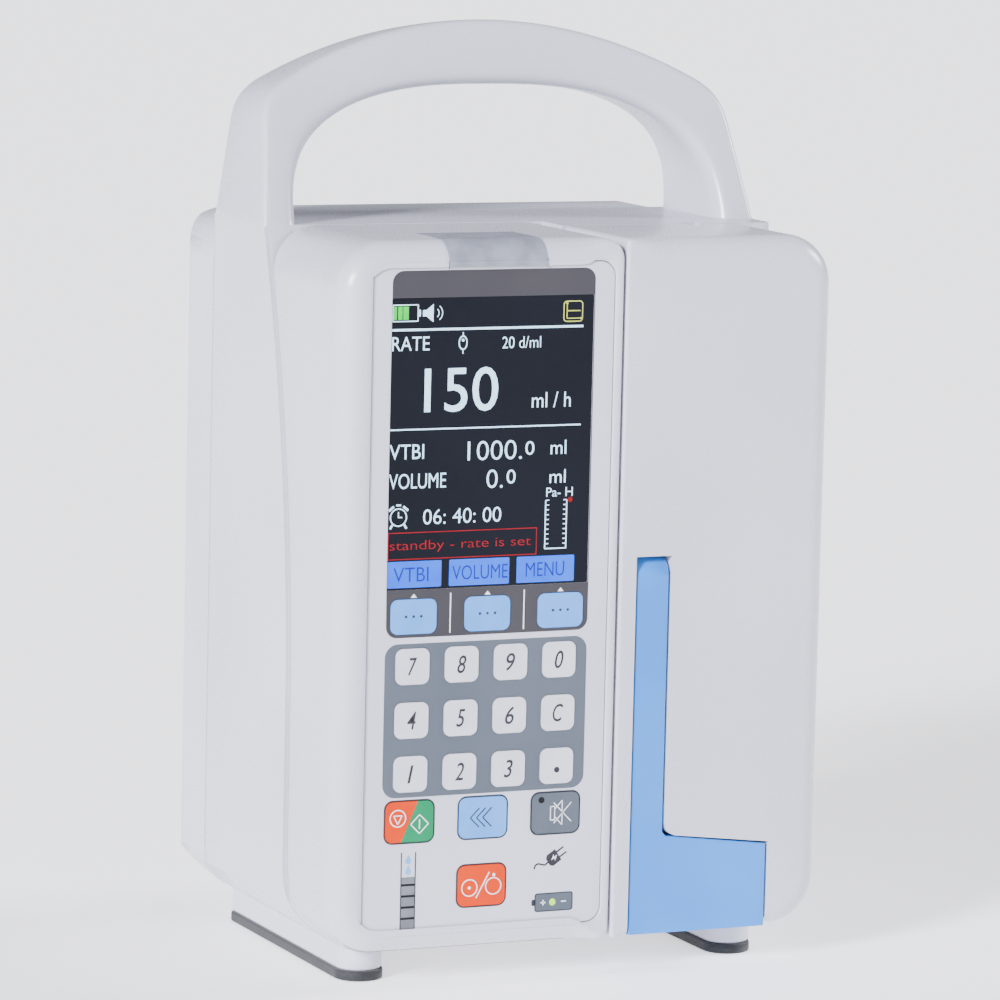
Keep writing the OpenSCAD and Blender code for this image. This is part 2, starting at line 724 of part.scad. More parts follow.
// Involute tooth shapes, with a 25 degree pressure angle and a little backlash
pressure = 25;
function involute(a) = tan(a) * 180 / PI - a;
function half_tooth(teeth, r) = let (rp = gear_module * teeth / 2, rb = rp * cos(pressure))
    90 / teeth - 0.35 * 12 / rp * 0.25 + involute(pressure) - involute(acos(min(1, rb / max(r, rb))));
function tooth(teeth, i) = let (
    rp = gear_module * teeth / 2,
    rb = rp * cos(pressure),
    r0 = rp - 1.15 * gear_module,
    r1 = rp + 0.85 * gear_module,
    rs = [for (j = [0:4]) max(rb, r0) + (r1 - max(rb, r0)) * j / 4],
    mid = 360 * i / teeth)
    concat(
        [for (j = [-1:4]) let (r = j < 0 ? r0 : rs[j], a = mid - half_tooth(teeth, r))
            [r * cos(a), r * sin(a)]],
        [for (j = [4:-1:-1]) let (r = j < 0 ? r0 : rs[j], a = mid + half_tooth(teeth, r))
            [r * cos(a), r * sin(a)]]);
module gear(teeth, h) {
    linear_extrude(h) polygon([for (i = [0:teeth - 1]) each tooth(teeth, i)]);
}

// The gears mesh along the line between the two shafts
mesh_angle = atan2(motor_y - shaft_y, motor_x - tube_x);
module motor_pinion() color("goldenrod") place() {
    difference() {
        translate([motor_x, motor_y, gear_z - 0.5]) rotate(mesh_angle + 180 + 180 / pinion_teeth)
            gear(pinion_teeth, gear_h + 1);
        rod_z(motor_x, motor_y, [gear_z - 2, gear_z + gear_h + 2], 2.5);
    }
    rod_z(motor_x, motor_y, [motor_shelf_z - 5, gear_z + gear_h + 0.5], 2.5);
}

module cam_gear() color("goldenrod") place() difference() {
    translate([tube_x, shaft_y, gear_z]) rotate(mesh_angle) gear(gear_teeth, gear_h);
    rod_z(tube_x, shaft_y, [gear_z - cut, gear_z + gear_h + cut], shaft_r + fit);
    for (i = [0:4]) rotate_about(tube_x, shaft_y, 72 * i)
        rod_z(tube_x + 10.5, shaft_y, [gear_z - cut, gear_z + gear_h + cut], 3.4);
}

module rotate_about(x, y, a) { translate([x, y, 0]) rotate(a) translate([-x, -y, 0]) children(); }

module camshaft() color("silver") place() {
    rod_z(tube_x, shaft_y, [gear_z - 1, upper_shelf_z + shelf_t + 1], shaft_r);
    for (i = [0:finger_count - 1]) {
        a = 360 * i / finger_count;
        z = finger_z0 + (i + 0.5) * finger_pitch;
        rod_z(tube_x + cam_throw * cos(a), shaft_y + cam_throw * sin(a),
            [z - finger_t / 2, z + finger_t / 2], cam_r);
    }
}

module shaft_bearings() color("silver") place() for (z = [lower_shelf_z, upper_shelf_z]) difference() {
    rod_z(tube_x, shaft_y, [z, z + bearing_h], bearing_r);
    rod_z(tube_x, shaft_y, [z - cut, z + bearing_h + cut], shaft_r + fit);
}

module pump_fingers() color("white") place() for (i = [0:finger_count - 1]) {
    z = finger_z0 + (i + 0.5) * finger_pitch;
    flat_plate([z - finger_t / 2, z + finger_t / 2]) rounded(
        [tube_x - finger_w / 2, tube_x + finger_w / 2], [bay_y + 0.1, finger_back], [2, 2, 0.5, 0.5]);
}

module finger_membrane() color("#d8e0e0") place()
    front_plate([bay_y - membrane_t, bay_y]) rounded(
        [tube_x - finger_w / 2 - 2.5, tube_x + finger_w / 2 + 2.5], [finger_z0 - 3.5, finger_z1 + 3.5],
        [2, 2, 2, 2]);

module pressure_sensors() color("dimgray") place() for (z = sensor_zs)
    rod_y(tube_x, [bay_y - 1, bay_y + plate_t - 0.5], z, sensor_r);

module bubble_sensor() color("#404448") place() difference() {
    front_plate([bay_y - 5, bay_y])
        rounded([tube_x - 8, tube_x + 8], [bubble_z, bubble_z + 12], [1, 1, 1, 1]);
    block([tube_x - tube_w / 2, tube_x + tube_w / 2], [bay_y - 6, bay_y - 0.8],
        [bubble_z - cut, bubble_z + 13]);
}

module flow_clamp() color("orange") place()
    block([tube_x - 5, tube_x + 5], [bay_y - 0.9, bay_y + plate_t + 12],
        [flow_clamp_z, flow_clamp_z + flow_clamp_h]);

// ---------- door ----------

module door_block(t) {
    x = [door_x0 + t, case_x - t];
    y = [t > 0 ? wall : 0, door_d + (t > 0 ? cut : 0)];
    z = [z0 + t, z1 - t];
    intersection() {
        front_plate(y) rounded(x, z, [max(0.1, 1.5 - t), corner_r - t, corner_r - t, max(0.1, 1.5 - t)]);
        flat_plate(z) rounded(x, y, [max(0.1, 1 - t), edge_r - t, t > 0 ? 0 : hinge_r, 0]);
        side_plate(x) rounded(y, z, [edge_r - t, 0, 0, edge_r - t]);
    }
}

// Outline of the lever in X and Z, grown by g; its foot's upper edge falls to the right
module lever_outline(g) {
    x0 = lever_x0 - g;
    x1 = lever_x0 + lever_bar_w + g;
    x2 = lever_x0 + lever_foot_w + g;
    foot_top = lever_z0 + lever_foot_h + g;
    polygon([[x0, lever_z0 - (g > 0 ? g + cut : 0)], [x2, lever_z0 - (g > 0 ? g + cut : 0)],
        [x2, foot_top], [x1 + 1, foot_top + 3.4], [x1, foot_top + 4.6],
        [x1, lever_z0 + lever_h + g], [x0, lever_z0 + lever_h + g]]);
}

module door_shell() color("gainsboro") place() difference() {
    union() {
        difference() {
            door_block(0);
            door_block(wall);
        }
        intersection() {
            door_block(0);
            union() {
                front_plate([wall - cut, pocket_y + pocket_wall]) lever_outline(lever_gap + pocket_wall);
                for (z = hinge_zs) block([hinge_x - hinge_r, case_x], [hinge_y - hinge_r, door_d],
                    [z - knuckle_h, z + ear_t + knuckle_h]);
            }
        }
    }
    front_plate([-cut, pocket_y]) lever_outline(lever_gap);
    for (z = hinge_zs) {
        rod_z(hinge_x, hinge_y, [z - knuckle_h - cut, z + ear_t + knuckle_h + cut], hinge_pin_r);
        rod_z(hinge_x, hinge_y, [z - 0.3, z + ear_t + 0.3], hinge_r + 1.6);
    }
    rod_x([lever_x0 - 1.6, lever_x0 + lever_bar_w + 1.6], pivot_y, pivot_z, lever_pin_r);
    tube_slot();
}

module door_inner() color("lightgray") place() difference() {
    union() {
        front_plate([inner_y, inner_y + inner_t]) rounded([slide_x0 + slide_t + 0.9, hinge_x - 5],
            [z0 + wall + 0.5, z1 - wall - 0.5], [1, 6, 6, 1]);
        block([tube_x - platen_w / 2 - 2, tube_x + platen_w / 2 + 2], [tray_y - 2, inner_y + inner_t],
            [platen_z[0] - 2.5, platen_z[1] + 2.5]);
    }
    block([tube_x - platen_w / 2 - 0.4, tube_x + platen_w / 2 + 0.4], [tray_y, inner_y + inner_t + cut],
        [platen_z[0] - 0.5, platen_z[1] + 0.5]);
}

module platen() color("lightsteelblue") place() difference() {
    front_plate([platen_y1 - platen_t, platen_y1]) rounded(
        [tube_x - platen_w / 2, tube_x + platen_w / 2], platen_z, [1, 1, 1, 1]);
    for (z = spring_zs) rod_y(tube_x, [platen_y1 - platen_t - cut, platen_y1 - platen_t + 1.5], z, 3.6);
}

spring_zs = [for (i = [0:3]) platen_z[0] + (platen_z[1] - platen_z[0]) * (i + 0.5) / 4];
// Each spring is a stack of separate wire rings
module platen_springs() color("silver") place() for (z = spring_zs) difference() {
    rod_y(tube_x, [tray_y, platen_y1 - platen_t + 1.5 - platen_float - 0.1], z, 3);
    rod_y(tube_x, [tray_y - cut, platen_y1], z, 2.2);
}

module door_lever() color("lightskyblue") place() difference() {
    intersection() {
        front_plate([lever_y, lever_y + lever_t]) lever_outline(0);
        union() {
            block([lever_x0 - cut, lever_x0 + lever_foot_w + cut], [0, lever_y + lever_t + cut],
                [0, pivot_z]);
            rod_x([lever_x0, lever_x0 + lever_bar_w], pivot_y, pivot_z, hub_r);
        }
    }
    rod_x([lever_x0 - cut, lever_x0 + lever_bar_w + cut], pivot_y, pivot_z, lever_pin_r + fit);
}

// Hinge pins and the lever's pin, all pressed into the door
module door_pins() color("silver") place() {
    for (z = hinge_zs)
        rod_z(hinge_x, hinge_y, [z - knuckle_h + 0.5, z + ear_t + knuckle_h - 0.5], hinge_pin_r);
    rod_x([lever_x0 - 1.6, lever_x0 + lever_bar_w + 1.6], pivot_y, pivot_z, lever_pin_r);
}

module latch_slide() color("silver") place() {
    block([slide_x0, slide_x0 + slide_t], slide_y, slide_z);
    for (z = hook_zs) side_plate([slide_x0, slide_x0 + slide_t]) polygon([
        [slide_y[1] - 1, z], [hook_tip, z], [hook_tip, z + hook_h - 3], [hook_tip - 3, z + hook_h],
        [slide_y[1] - 1, z + hook_h]]);
}

module hinge_brackets() color("silver") place() for (z = hinge_zs) difference() {
    union() {
        flat_plate([z, z + ear_t]) union() {
            translate([hinge_x, hinge_y]) circle(ear_r);
            translate([hinge_x - ear_r, hinge_y])
                square([plate_x1 - hinge_x + ear_r - 0.2, bay_y + plate_t - hinge_y]);
        }
        block([hinge_x - 9, plate_x1 - 0.2], [bay_y + plate_t, bay_y + plate_t + 2], [z - 6, z + 8]);
    }
    rod_z(hinge_x, hinge_y, [z - cut, z + ear_t + cut], hinge_pin_r + fit);
}

// ---------- rear fittings ----------

module at_clamp_screws() {
    for (x = [-1, 1], z = [-1, 1])
        translate([x * clamp_screw_x, 0, clamp_z + z * clamp_screw_z]) children();
}

// A cross-headed screw along Y, from its tip to the seat of its head
module screw(tip_y, seat_y) {
    difference() {
        union() {
            rod_y(0, [tip_y, seat_y + 0.5], 0, screw_shank_r);
            rod_y(0, [seat_y, seat_y + screw_head_h], 0, screw_head_r);
        }
        for (a = [0, 90]) translate([0, seat_y + 2, 0]) rotate([0, a, 0])
            cube([3.2, 1.6, 0.8], center = true);
    }
}

module case_screws() color("silver") place() {
    for (x = [-boss_x, boss_x], z = boss_zs) translate([x, 0, z]) screw(rear_y - 11, screw_seat_y);
    at_clamp_screws() screw(body_d - 9, clamp_seat_y);
}

module clamp_frame() color("silver") place() difference() {
    high = [clamp_z - clamp_h / 2, clamp_z + clamp_h / 2];
    arm = [clamp_z - clamp_arm_h, clamp_z + clamp_arm_h];
    union() {
        block([-clamp_arm_x, pole_r + 10], [body_d, body_d + clamp_base_t], high);
        block([-pole_r - 2.5, pole_r + 2.5], [body_d + clamp_base_t - cut, saddle_y - 4], high);
        block([-clamp_arm_x, -clamp_arm_x + cross_t], [body_d, cross_y + cross_t], arm);
        block([-clamp_arm_x, 11], [cross_y, cross_y + cross_t], arm);
    }
    at_clamp_screws() {
        rod_y(0, [body_d - cut, body_d + clamp_base_t + cut], 0, screw_bore_r);
        rod_y(0, [clamp_seat_y, body_d + clamp_base_t + cut], 0, screw_head_r + 0.3);
    }
    rod_z(0, saddle_y, [clamp_z - clamp_h, clamp_z + clamp_h], pole_r);
    rod_y(0, [cross_y - cut, cross_y + cross_t + cut], clamp_z, screw_r + fit);
}

module clamp_pad() color("#202020") place() difference() {
    rod_y(0, [pad_y, pad_y + pad_t], clamp_z, 9);
    rod_y(0, [pad_y + 1.5, pad_y + pad_t + cut], clamp_z, 3 + fit);
}

module clamp_screw() color("#303030") place() {
    rod_y(0, [pad_y + 1.5 + fit, pad_y + pad_t + 0.3], clamp_z, 3);
    rod_y(0, [pad_y + pad_t + 0.2, knob_y + 1], clamp_z, screw_r);
    difference() {
        rod_y(0, [knob_y, knob_y + knob_t], clamp_z, knob_r);
        for (i = [0:5]) rod_y(knob_r * 1.25 * cos(60 * i), [knob_y - cut, knob_y + knob_t + cut],
            clamp_z + knob_r * 1.25 * sin(60 * i), knob_r * 0.42);
    }
}

// ---------- drawing ----------

front_case();
main_housing();
carry_handle();
rear_case();
foot_skids();
foot_pads();
front_overlay();
lcd_window();
lcd_module();
keypad_board();
alarm_lamp();
main_board();
power_board();
battery_pack();
battery_cover();
speaker();
mains_inlet();
data_socket();
pump_chassis();
stepper_motor();
motor_pinion();
camshaft();
cam_gear();
shaft_bearings();
pump_fingers();
finger_membrane();
pressure_sensors();
bubble_sensor();
flow_clamp();
hinge_brackets();
door_shell();
door_inner();
platen();
platen_springs();
door_lever();
door_pins();
latch_slide();
case_screws();
clamp_frame();
clamp_pad();
clamp_screw();
for (k = KEYS) key(k);
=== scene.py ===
from math import acos, cos, pi, radians, sin, sqrt

import bmesh
import bpy
from bpy.props import FloatProperty, FloatVectorProperty, PointerProperty
from mathutils import Matrix, Vector


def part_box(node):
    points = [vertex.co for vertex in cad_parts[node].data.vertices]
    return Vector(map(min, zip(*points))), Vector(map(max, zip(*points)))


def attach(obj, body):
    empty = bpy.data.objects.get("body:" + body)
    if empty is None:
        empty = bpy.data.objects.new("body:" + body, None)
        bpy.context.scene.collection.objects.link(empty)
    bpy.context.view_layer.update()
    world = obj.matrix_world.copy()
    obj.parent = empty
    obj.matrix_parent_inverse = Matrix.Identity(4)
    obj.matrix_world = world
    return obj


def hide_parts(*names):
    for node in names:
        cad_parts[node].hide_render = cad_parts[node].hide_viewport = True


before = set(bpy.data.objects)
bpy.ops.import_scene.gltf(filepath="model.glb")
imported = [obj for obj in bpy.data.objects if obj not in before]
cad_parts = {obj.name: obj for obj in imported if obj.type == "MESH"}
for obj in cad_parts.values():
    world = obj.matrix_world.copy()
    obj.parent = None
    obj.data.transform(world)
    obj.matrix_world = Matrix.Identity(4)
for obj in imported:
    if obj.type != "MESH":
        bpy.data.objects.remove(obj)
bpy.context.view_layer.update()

bl_info = {
    "name": "Infusion Pump",
    "version": (1, 0, 0),
    "blender": (4, 5, 0),
    "location": "3D View > Sidebar > Pump",
    "description": "Finishes an infusion pump on its packed frame",
    "category": "Object",
}

MM = 0.001
FRONT_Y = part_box("door_shell")[0][1]
ROOT = "pump_body"


# ---------- places, in mm, with Y counted from the front face ----------


def at(x, y, z):
    """The point in metres for a place in mm."""
    return Vector((x * MM, FRONT_Y + y * MM, z * MM))


def box_mm(node):
    """The lowest and highest corner of a CAD node, in mm."""
    lo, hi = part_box(node)
    return [[v[0] / MM, (v[1] - FRONT_Y) / MM, v[2] / MM] for v in (lo, hi)]


BAND_LO, BAND_HI = box_mm("main_housing")
CASE_LO, CASE_HI = box_mm("front_case")
DOOR_LO, DOOR_HI = box_mm("door_shell")
LEVER_LO, LEVER_HI = box_mm("door_lever")
OVERLAY_LO, OVERLAY_HI = box_mm("front_overlay")
DISPLAY_LO, DISPLAY_HI = box_mm("lcd_window")
LAMP_LO, LAMP_HI = box_mm("alarm_lamp")
HANDLE_TOP = box_mm("carry_handle")[1][2]
FLOOR_Z, TOP_Z = BAND_LO[2], BAND_HI[2]
LIP_HEIGHT, LIP_RADIUS = 2.7, 15.0
CORNER = 12.0


def smooth(t):
    t = min(1.0, max(0.0, t))
    return t * t * (3 - 2 * t)


def sweep(z):
    """Front edge of the side band and the handle."""
    return 29.4 + 19 * (max(0, z - FLOOR_Z - 56.5) / 113) ** 2


def band_front(z):
    """Front edge of the side band, with its forward lip at the bottom."""
    rise = z - FLOOR_Z - LIP_HEIGHT
    if rise < 0:
        return BAND_LO[1]
    if rise < LIP_RADIUS:
        return sweep(FLOOR_Z) - LIP_RADIUS + LIP_RADIUS * sin(acos(1 - rise / LIP_RADIUS))
    return sweep(z)


# ---------- materials ----------


def linear(code):
    """A linear colour from an sRGB hex value."""
    parts = [int(code[i:i + 2], 16) / 255 for i in (1, 3, 5)]
    return [c / 12.92 if c <= 0.04045 else ((c + 0.055) / 1.055) ** 2.4 for c in parts] + [1.0]


def add_node(tree, kind, inputs=None, **settings):
    """Add one node; each input is given a value or the socket that feeds it."""
    node = tree.nodes.new(kind)
    for name, value in settings.items():
        setattr(node, name, value)
    for name, value in (inputs or {}).items():
        if isinstance(value, bpy.types.NodeSocket):
            tree.links.new(value, node.inputs[name])
        else:
            node.inputs[name].default_value = value
    return node


def skin(c, d, rough, grain, height, patch, **more):
    """One finish: two colours that drift into each other over patch mm, and the grain's size in mm."""
    return dict(c=c, d=d, rough=rough, grain=grain, height=height, patch=patch, **more)


# Other values: metallic, coat, sheen, shine, glow, stretch, and grid as pitch and line width in mm
FINISHES = {
    # ABS from a spark-eroded tool: a satin skin whose fine grain softens every highlight
    "abs_satin_white": skin("#C8C8D3", "#C1C1CC", (0.24, 0.34), 0.5, 0.007, 60),
    # Glossier blue ABS, with slight flow marks
    "abs_lever_blue": skin("#3A88DE", "#327FD6", (0.28, 0.4), 0.6, 0.008, 26, shine=0.3),
    "abs_grey": skin("#7F828A", "#757880", (0.45, 0.58), 0.5, 0.012, 40),
    # Frosted polycarbonate: milky, with the coarser texture that spreads the light
    "polycarbonate_frosted": skin("#787B87", "#8C8F9B", (0.4, 0.62), 0.7, 0.045, 5, coat=0.15),
    # Clear hard-coated window over an unlit panel: near black with a blue cast and a gloss
    "window_hard_coat": skin("#0E111B", "#0B0E17", (0.16, 0.24), 3, 0.002, 45, shine=0.12),
    "led_green": skin("#A6E22E", "#8CCC20", (0.15, 0.25), 1, 0.0, 1, glow=0.5, coat=0.5),
    # Nitrile rubber: near black, dull, with a soft sheen and a mould grain
    "rubber_nitrile": skin("#17181A", "#202124", (0.7, 0.88), 0.8, 0.03, 8, sheen=0.2),
    "silicone_translucent": skin("#D3DADA", "#C6CECE", (0.35, 0.5), 1.2, 0.006, 9, sheen=0.2),
    # Bead-blasted and anodised aluminium: even, sparkling matt
    "aluminium_bead_blasted": skin("#B9BBBF", "#ACAEB3", (0.34, 0.5), 0.25, 0.012, 25, metallic=1),
    # Nickel on rolled steel: a bright skin over drawing lines
    "steel_nickel_plated": skin("#C3C1BC", "#B2B0AB", (0.18, 0.34), 0.9, 0.004, 10, metallic=1,
                                stretch=(8, 8, 0.6)),
    "steel_painted_black": skin("#1B1C1F", "#25262A", (0.35, 0.5), 0.9, 0.012, 12),
    "brass_hobbed": skin("#C9A050", "#B38A3E", (0.22, 0.38), 0.5, 0.005, 6, metallic=1),
    "acetal_white": skin("#E9E8E2", "#DEDDD6", (0.3, 0.42), 0.5, 0.004, 14),
    "acetal_orange": skin("#E0661A", "#D05A12", (0.3, 0.42), 0.5, 0.004, 14),
    "nylon_black": skin("#1A1A1C", "#232326", (0.42, 0.6), 0.5, 0.016, 14),
    "sleeve_pvc_blue": skin("#1C4B9A", "#173F86", (0.2, 0.32), 3.0, 0.03, 18, coat=0.2),
    # Glass-fibre board: green mask with paler copper runs showing through every 2.5 mm
    "fibreglass_green": skin("#0F5A34", "#0B4A2A", (0.25, 0.4), 0.4, 0.01, 12, grid=(2.5, 0.35),
                             coat=0.2),
    "display_frame_black": skin("#14161C", "#1D2028", (0.35, 0.5), 0.8, 0.008, 14),
}
# Screen-printed polyester film and its flat, even inks
for name, c, d, rough, height, patch in (
    ("polyester_film", "#CDCDD9", "#C8C8D4", (0.42, 0.52), 0.004, 50),
    ("ink_header_grey", "#413F43", "#3C3A3F", (0.42, 0.52), 0.004, 30),
    ("ink_keypad_grey", "#585F69", "#535A64", (0.42, 0.52), 0.004, 30),
    ("ink_legend", "#313136", "#3A3A40", (0.45, 0.55), 0.003, 3),
    ("ink_dark", "#141518", "#1D1E22", (0.45, 0.55), 0.003, 3),
    ("ink_white", "#F2F2F6", "#E8E8EE", (0.45, 0.55), 0.003, 3),
    ("ink_stripe_grey", "#75787E", "#66696F", (0.45, 0.55), 0.003, 4),
    ("ink_drop_blue", "#6FAEE8", "#62A2DF", (0.45, 0.55), 0.003, 2),
    ("film_key_white", "#D2D2DC", "#CCCCD6", (0.4, 0.5), 0.004, 8),
    ("film_key_blue", "#5E9CE8", "#5694E2", (0.4, 0.5), 0.004, 8),
    ("film_key_orange", "#D83A00", "#CE3400", (0.4, 0.5), 0.004, 8),
    ("film_key_green", "#008456", "#007A4E", (0.4, 0.5), 0.004, 8),
    ("film_key_grey", "#575E68", "#525963", (0.4, 0.5), 0.004, 8),
):
    FINISHES[name] = skin(c, d, rough, 0.3, height, patch, shine=0.15)
# Lit display dots 0.22 mm apart, drawn as faint darker lines between them
for name, c, d, patch, glow in (
    ("pixels_ice", "#C4E6F6", "#B4DAF0", 4, 0.85),
    ("pixels_green", "#1CC040", "#16AE36", 4, 0.8),
    ("pixels_olive", "#B8BE5A", "#A8AE50", 4, 0.7),
    ("pixels_red", "#8C1420", "#7C1018", 4, 0.6),
    ("pixels_button", "#2464E4", "#1A58DC", 5, 0.5),
    ("pixels_navy", "#0C1AA0", "#121E8C", 4, 0.6),
):
    FINISHES[name] = skin(c, d, (0.3, 0.35), 1, 0.0, patch, glow=glow, shine=0.12, grid=(0.22, 0.03))


def finish(name):
    """The material of a finish, built from its nodes the first time."""
    if name in bpy.data.materials:
        return bpy.data.materials[name]
    f = FINISHES[name]
    material = bpy.data.materials.new(name)
    material.use_nodes = True
    tree = material.node_tree
    tree.nodes.clear()
    place = add_node(tree, "ShaderNodeTexCoord").outputs["Object"]
    drawn = add_node(tree, "ShaderNodeMapping", {"Vector": place, "Scale": f.get("stretch", (1, 1, 1))})
    grain = add_node(tree, "ShaderNodeTexNoise", {
        "Vector": drawn.outputs["Vector"], "Scale": 1 / (f["grain"] * MM), "Detail": 3, "Roughness": 0.6})
    patch = add_node(tree, "ShaderNodeTexNoise", {
        "Vector": place, "Scale": 1 / (f["patch"] * MM), "Detail": 2, "Roughness": 0.5})
    spread = add_node(tree, "ShaderNodeMapRange", {
        "Value": patch.outputs["Fac"], "From Min": 0.35, "From Max": 0.65})
    colour = add_node(tree, "ShaderNodeMix", {
        0: spread.outputs["Result"], 6: linear(f["c"]), 7: linear(f["d"])}, data_type="RGBA").outputs[2]
    if "grid" in f:
        pitch, line = f["grid"]
        turned = add_node(tree, "ShaderNodeMapping", {
            "Vector": place, "Rotation": (radians(90), 0, 0), "Scale": (1 / MM, 1 / MM, 1 / MM)})
        cells = add_node(tree, "ShaderNodeTexBrick", {
            "Vector": turned.outputs["Vector"], "Scale": 1, "Mortar Size": line / 2, "Brick Width": pitch,
            "Row Height": pitch, "Mortar Smooth": 0.3}, offset=0, squash=1)
        colour = add_node(tree, "ShaderNodeMix", {
            0: cells.outputs["Fac"], 6: colour, 7: [0.72 * v for v in linear(f["d"])[:3]] + [1]},
            data_type="RGBA").outputs[2]
    rough = add_node(tree, "ShaderNodeMapRange", {
        "Value": grain.outputs["Fac"], "From Min": 0.3, "From Max": 0.7,
        "To Min": f["rough"][0], "To Max": f["rough"][1]}).outputs["Result"]
    bump = add_node(tree, "ShaderNodeBump", {
        "Height": grain.outputs["Fac"], "Strength": 0.6, "Distance": f["height"] * MM}).outputs["Normal"]
    shader = add_node(tree, "ShaderNodeBsdfPrincipled", {
        "Base Color": colour, "Roughness": rough, "Normal": bump, "Metallic": f.get("metallic", 0),
        "Coat Weight": f.get("coat", 0), "Sheen Weight": f.get("sheen", 0),
        "Specular IOR Level": f.get("shine", 0.5)})
    if "glow" in f:
        tree.links.new(colour, shader.inputs["Emission Color"])
        shader.inputs["Emission Strength"].default_value = f["glow"]
    add_node(tree, "ShaderNodeOutputMaterial", {"Surface": shader.outputs["BSDF"]})
    return material


# ---------- mesh code ----------


def new_object(name, mesh):
    made = bpy.data.objects.new(name, mesh)
    bpy.context.scene.collection.objects.link(made)
    return made


def baked(source):
    """A plain mesh of an object with its modifiers or text applied."""
    graph = bpy.context.evaluated_depsgraph_get()
    graph.update()
    return bpy.data.meshes.new_from_object(source.evaluated_get(graph))


def discard(*objects):
    for o in objects:
        bpy.data.objects.remove(o)


def assemble(name, parts):
    """One object from (mesh, finish) parts, each with its own material."""
    whole = bmesh.new()
    names = []
    for mesh, look in parts:
        if look not in names:
            names.append(look)
        first = len(whole.faces)
        whole.from_mesh(mesh)
        whole.faces.ensure_lookup_table()
        for face in whole.faces[first:]:
            face.material_index = names.index(look)
        bpy.data.meshes.remove(mesh)
    made = bpy.data.meshes.new(name)
    whole.to_mesh(made)
    whole.free()
    for look in names:
        made.materials.append(finish(look))
    return new_object(name, made)


def finish_piece(piece, body, nodes=(), edge=0.0, angle=40, segments=3):
    """Round a piece's edges by edge mm, smooth it and tie it to its body."""
    for face in piece.data.polygons:
        face.use_smooth = True
    if edge:
        round_edges(piece, edge, angle, segments)
    else:
        piece.data.set_sharp_from_angle(angle=radians(angle))
    if nodes:
        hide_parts(*nodes)
    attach(piece, body)
    return piece


def round_edges(piece, edge, angle=40, segments=3):
    bevel = piece.modifiers.new("Rounded edges", "BEVEL")
    bevel.width = edge * MM
    bevel.segments = segments
    bevel.limit_method = "ANGLE"
    bevel.angle_limit = radians(angle)
    bevel.harden_normals = True
    bevel.use_clamp_overlap = True


def rounded(mesh, edge, angle=40, segments=3):
    """The mesh with its edges rounded."""
    holder = new_object("rounded", mesh)
    round_edges(holder, edge, angle, segments)
    made = baked(holder)
    discard(holder)
    return made


def ring_mesh(rings, closed=False, capped=True):
    """A mesh through rings of points in mm; closed joins the last ring to the first."""
    work = bmesh.new()
    rows = [[work.verts.new(at(*p)) for p in ring] for ring in rings]
    pairs = list(zip(rows, rows[1:])) + ([(rows[-1], rows[0])] if closed else [])
    for a, b in pairs:
        for i in range(len(a)):
            j = (i + 1) % len(a)
            work.faces.new((a[i], a[j], b[j], b[i]))
    if capped and not closed:
        work.faces.new(rows[0])
        work.faces.new(list(reversed(rows[-1])))
    bmesh.ops.remove_doubles(work, verts=work.verts, dist=1e-6)
    bmesh.ops.recalc_face_normals(work, faces=work.faces)
    mesh = bpy.data.meshes.new("rings")
    work.to_mesh(mesh)
    work.free()
    return mesh


def outline(x0, x1, z0, z1, radii, corner=8, side=1):
    """(point, normal) pairs round a rectangle, from its lower left corner, each corner with its radius."""
    arcs = []
    for (cx, cz, start), r in zip(((x0, z0, 180), (x1, z0, 270), (x1, z1, 0), (x0, z1, 90)), radii):
        mx = cx + (r if cx == x0 else -r)
        mz = cz + (r if cz == z0 else -r)
        turns = [radians(start + 90 * i / corner) for i in range(corner + 1)]
        arcs.append([((mx + r * cos(a), mz + r * sin(a)), (cos(a), sin(a))) for a in turns])
    points = []
    for i, arc in enumerate(arcs):
        points += arc
        (ax, az), normal = arc[-1]
        bx, bz = arcs[(i + 1) % 4][0][0]
        points += [((ax + (bx - ax) * j / side, az + (bz - az) * j / side), normal)
                   for j in range(1, side)]
    return points


def loop(*args, **kw):
    return [p for p, _ in outline(*args, **kw)]


def rolled_rings(points, y0, fillet, y_back, steps=7, depth=8, rear=None):
    """Rings of a block with a rolled front edge: fillet, y_back and rear are found for each point."""
    rings = []
    for s in range(steps + 1):
        a = radians(90 * s / steps)
        ring = []
        for (x, z), (nx, nz) in points:
            f = fillet(x, z)
            inset = f * (1 - sin(a))
            ring.append((x - nx * inset, min(y0 + f * (1 - cos(a)), y_back(x, z)), z - nz * inset))
        rings.append(ring)
    for s in range(1, depth + 1):
        ring = []
        for (x, z), (nx, nz) in points:
            start = min(y0 + fillet(x, z), y_back(x, z))
            end = y_back(x, z) - (rear(nx, nz) if rear else 0)
            ring.append((x, start + (max(start, end) - start) * s / depth, z))
        rings.append(ring)
    if rear:
        for s in range(1, steps + 1):
            a = radians(90 * s / steps)
            ring = []
            for (x, z), (nx, nz) in points:
                r = rear(nx, nz)
                ring.append((x - nx * r * (1 - cos(a)), y_back(x, z) - r * (1 - sin(a)),
                             z - nz * r * (1 - cos(a))))
            rings.append(ring)
    return rings


def flat_mesh(loops, y, thick=0.03):
    """A thin plate cut to loops of (x, z) points, with its front at y; inner loops are holes."""
    curve = bpy.data.curves.new("plate", "CURVE")
    curve.dimensions = "2D"
    curve.fill_mode = "BOTH"
    curve.extrude = thick / 2 * MM
    for points in loops:
        spline = curve.splines.new("POLY")
        spline.points.add(len(points) - 1)
        for p, (x, z) in zip(spline.points, points):
            p.co = (x * MM, z * MM, 0, 1)
        spline.use_cyclic_u = True
    holder = new_object("plate", curve)
    mesh = baked(holder)
    discard(holder)
    bpy.data.curves.remove(curve)
    mesh.transform(Matrix.Translation(at(0, y + thick / 2, 0)) @ Matrix.Rotation(pi / 2, 4, "X"))
    return mesh


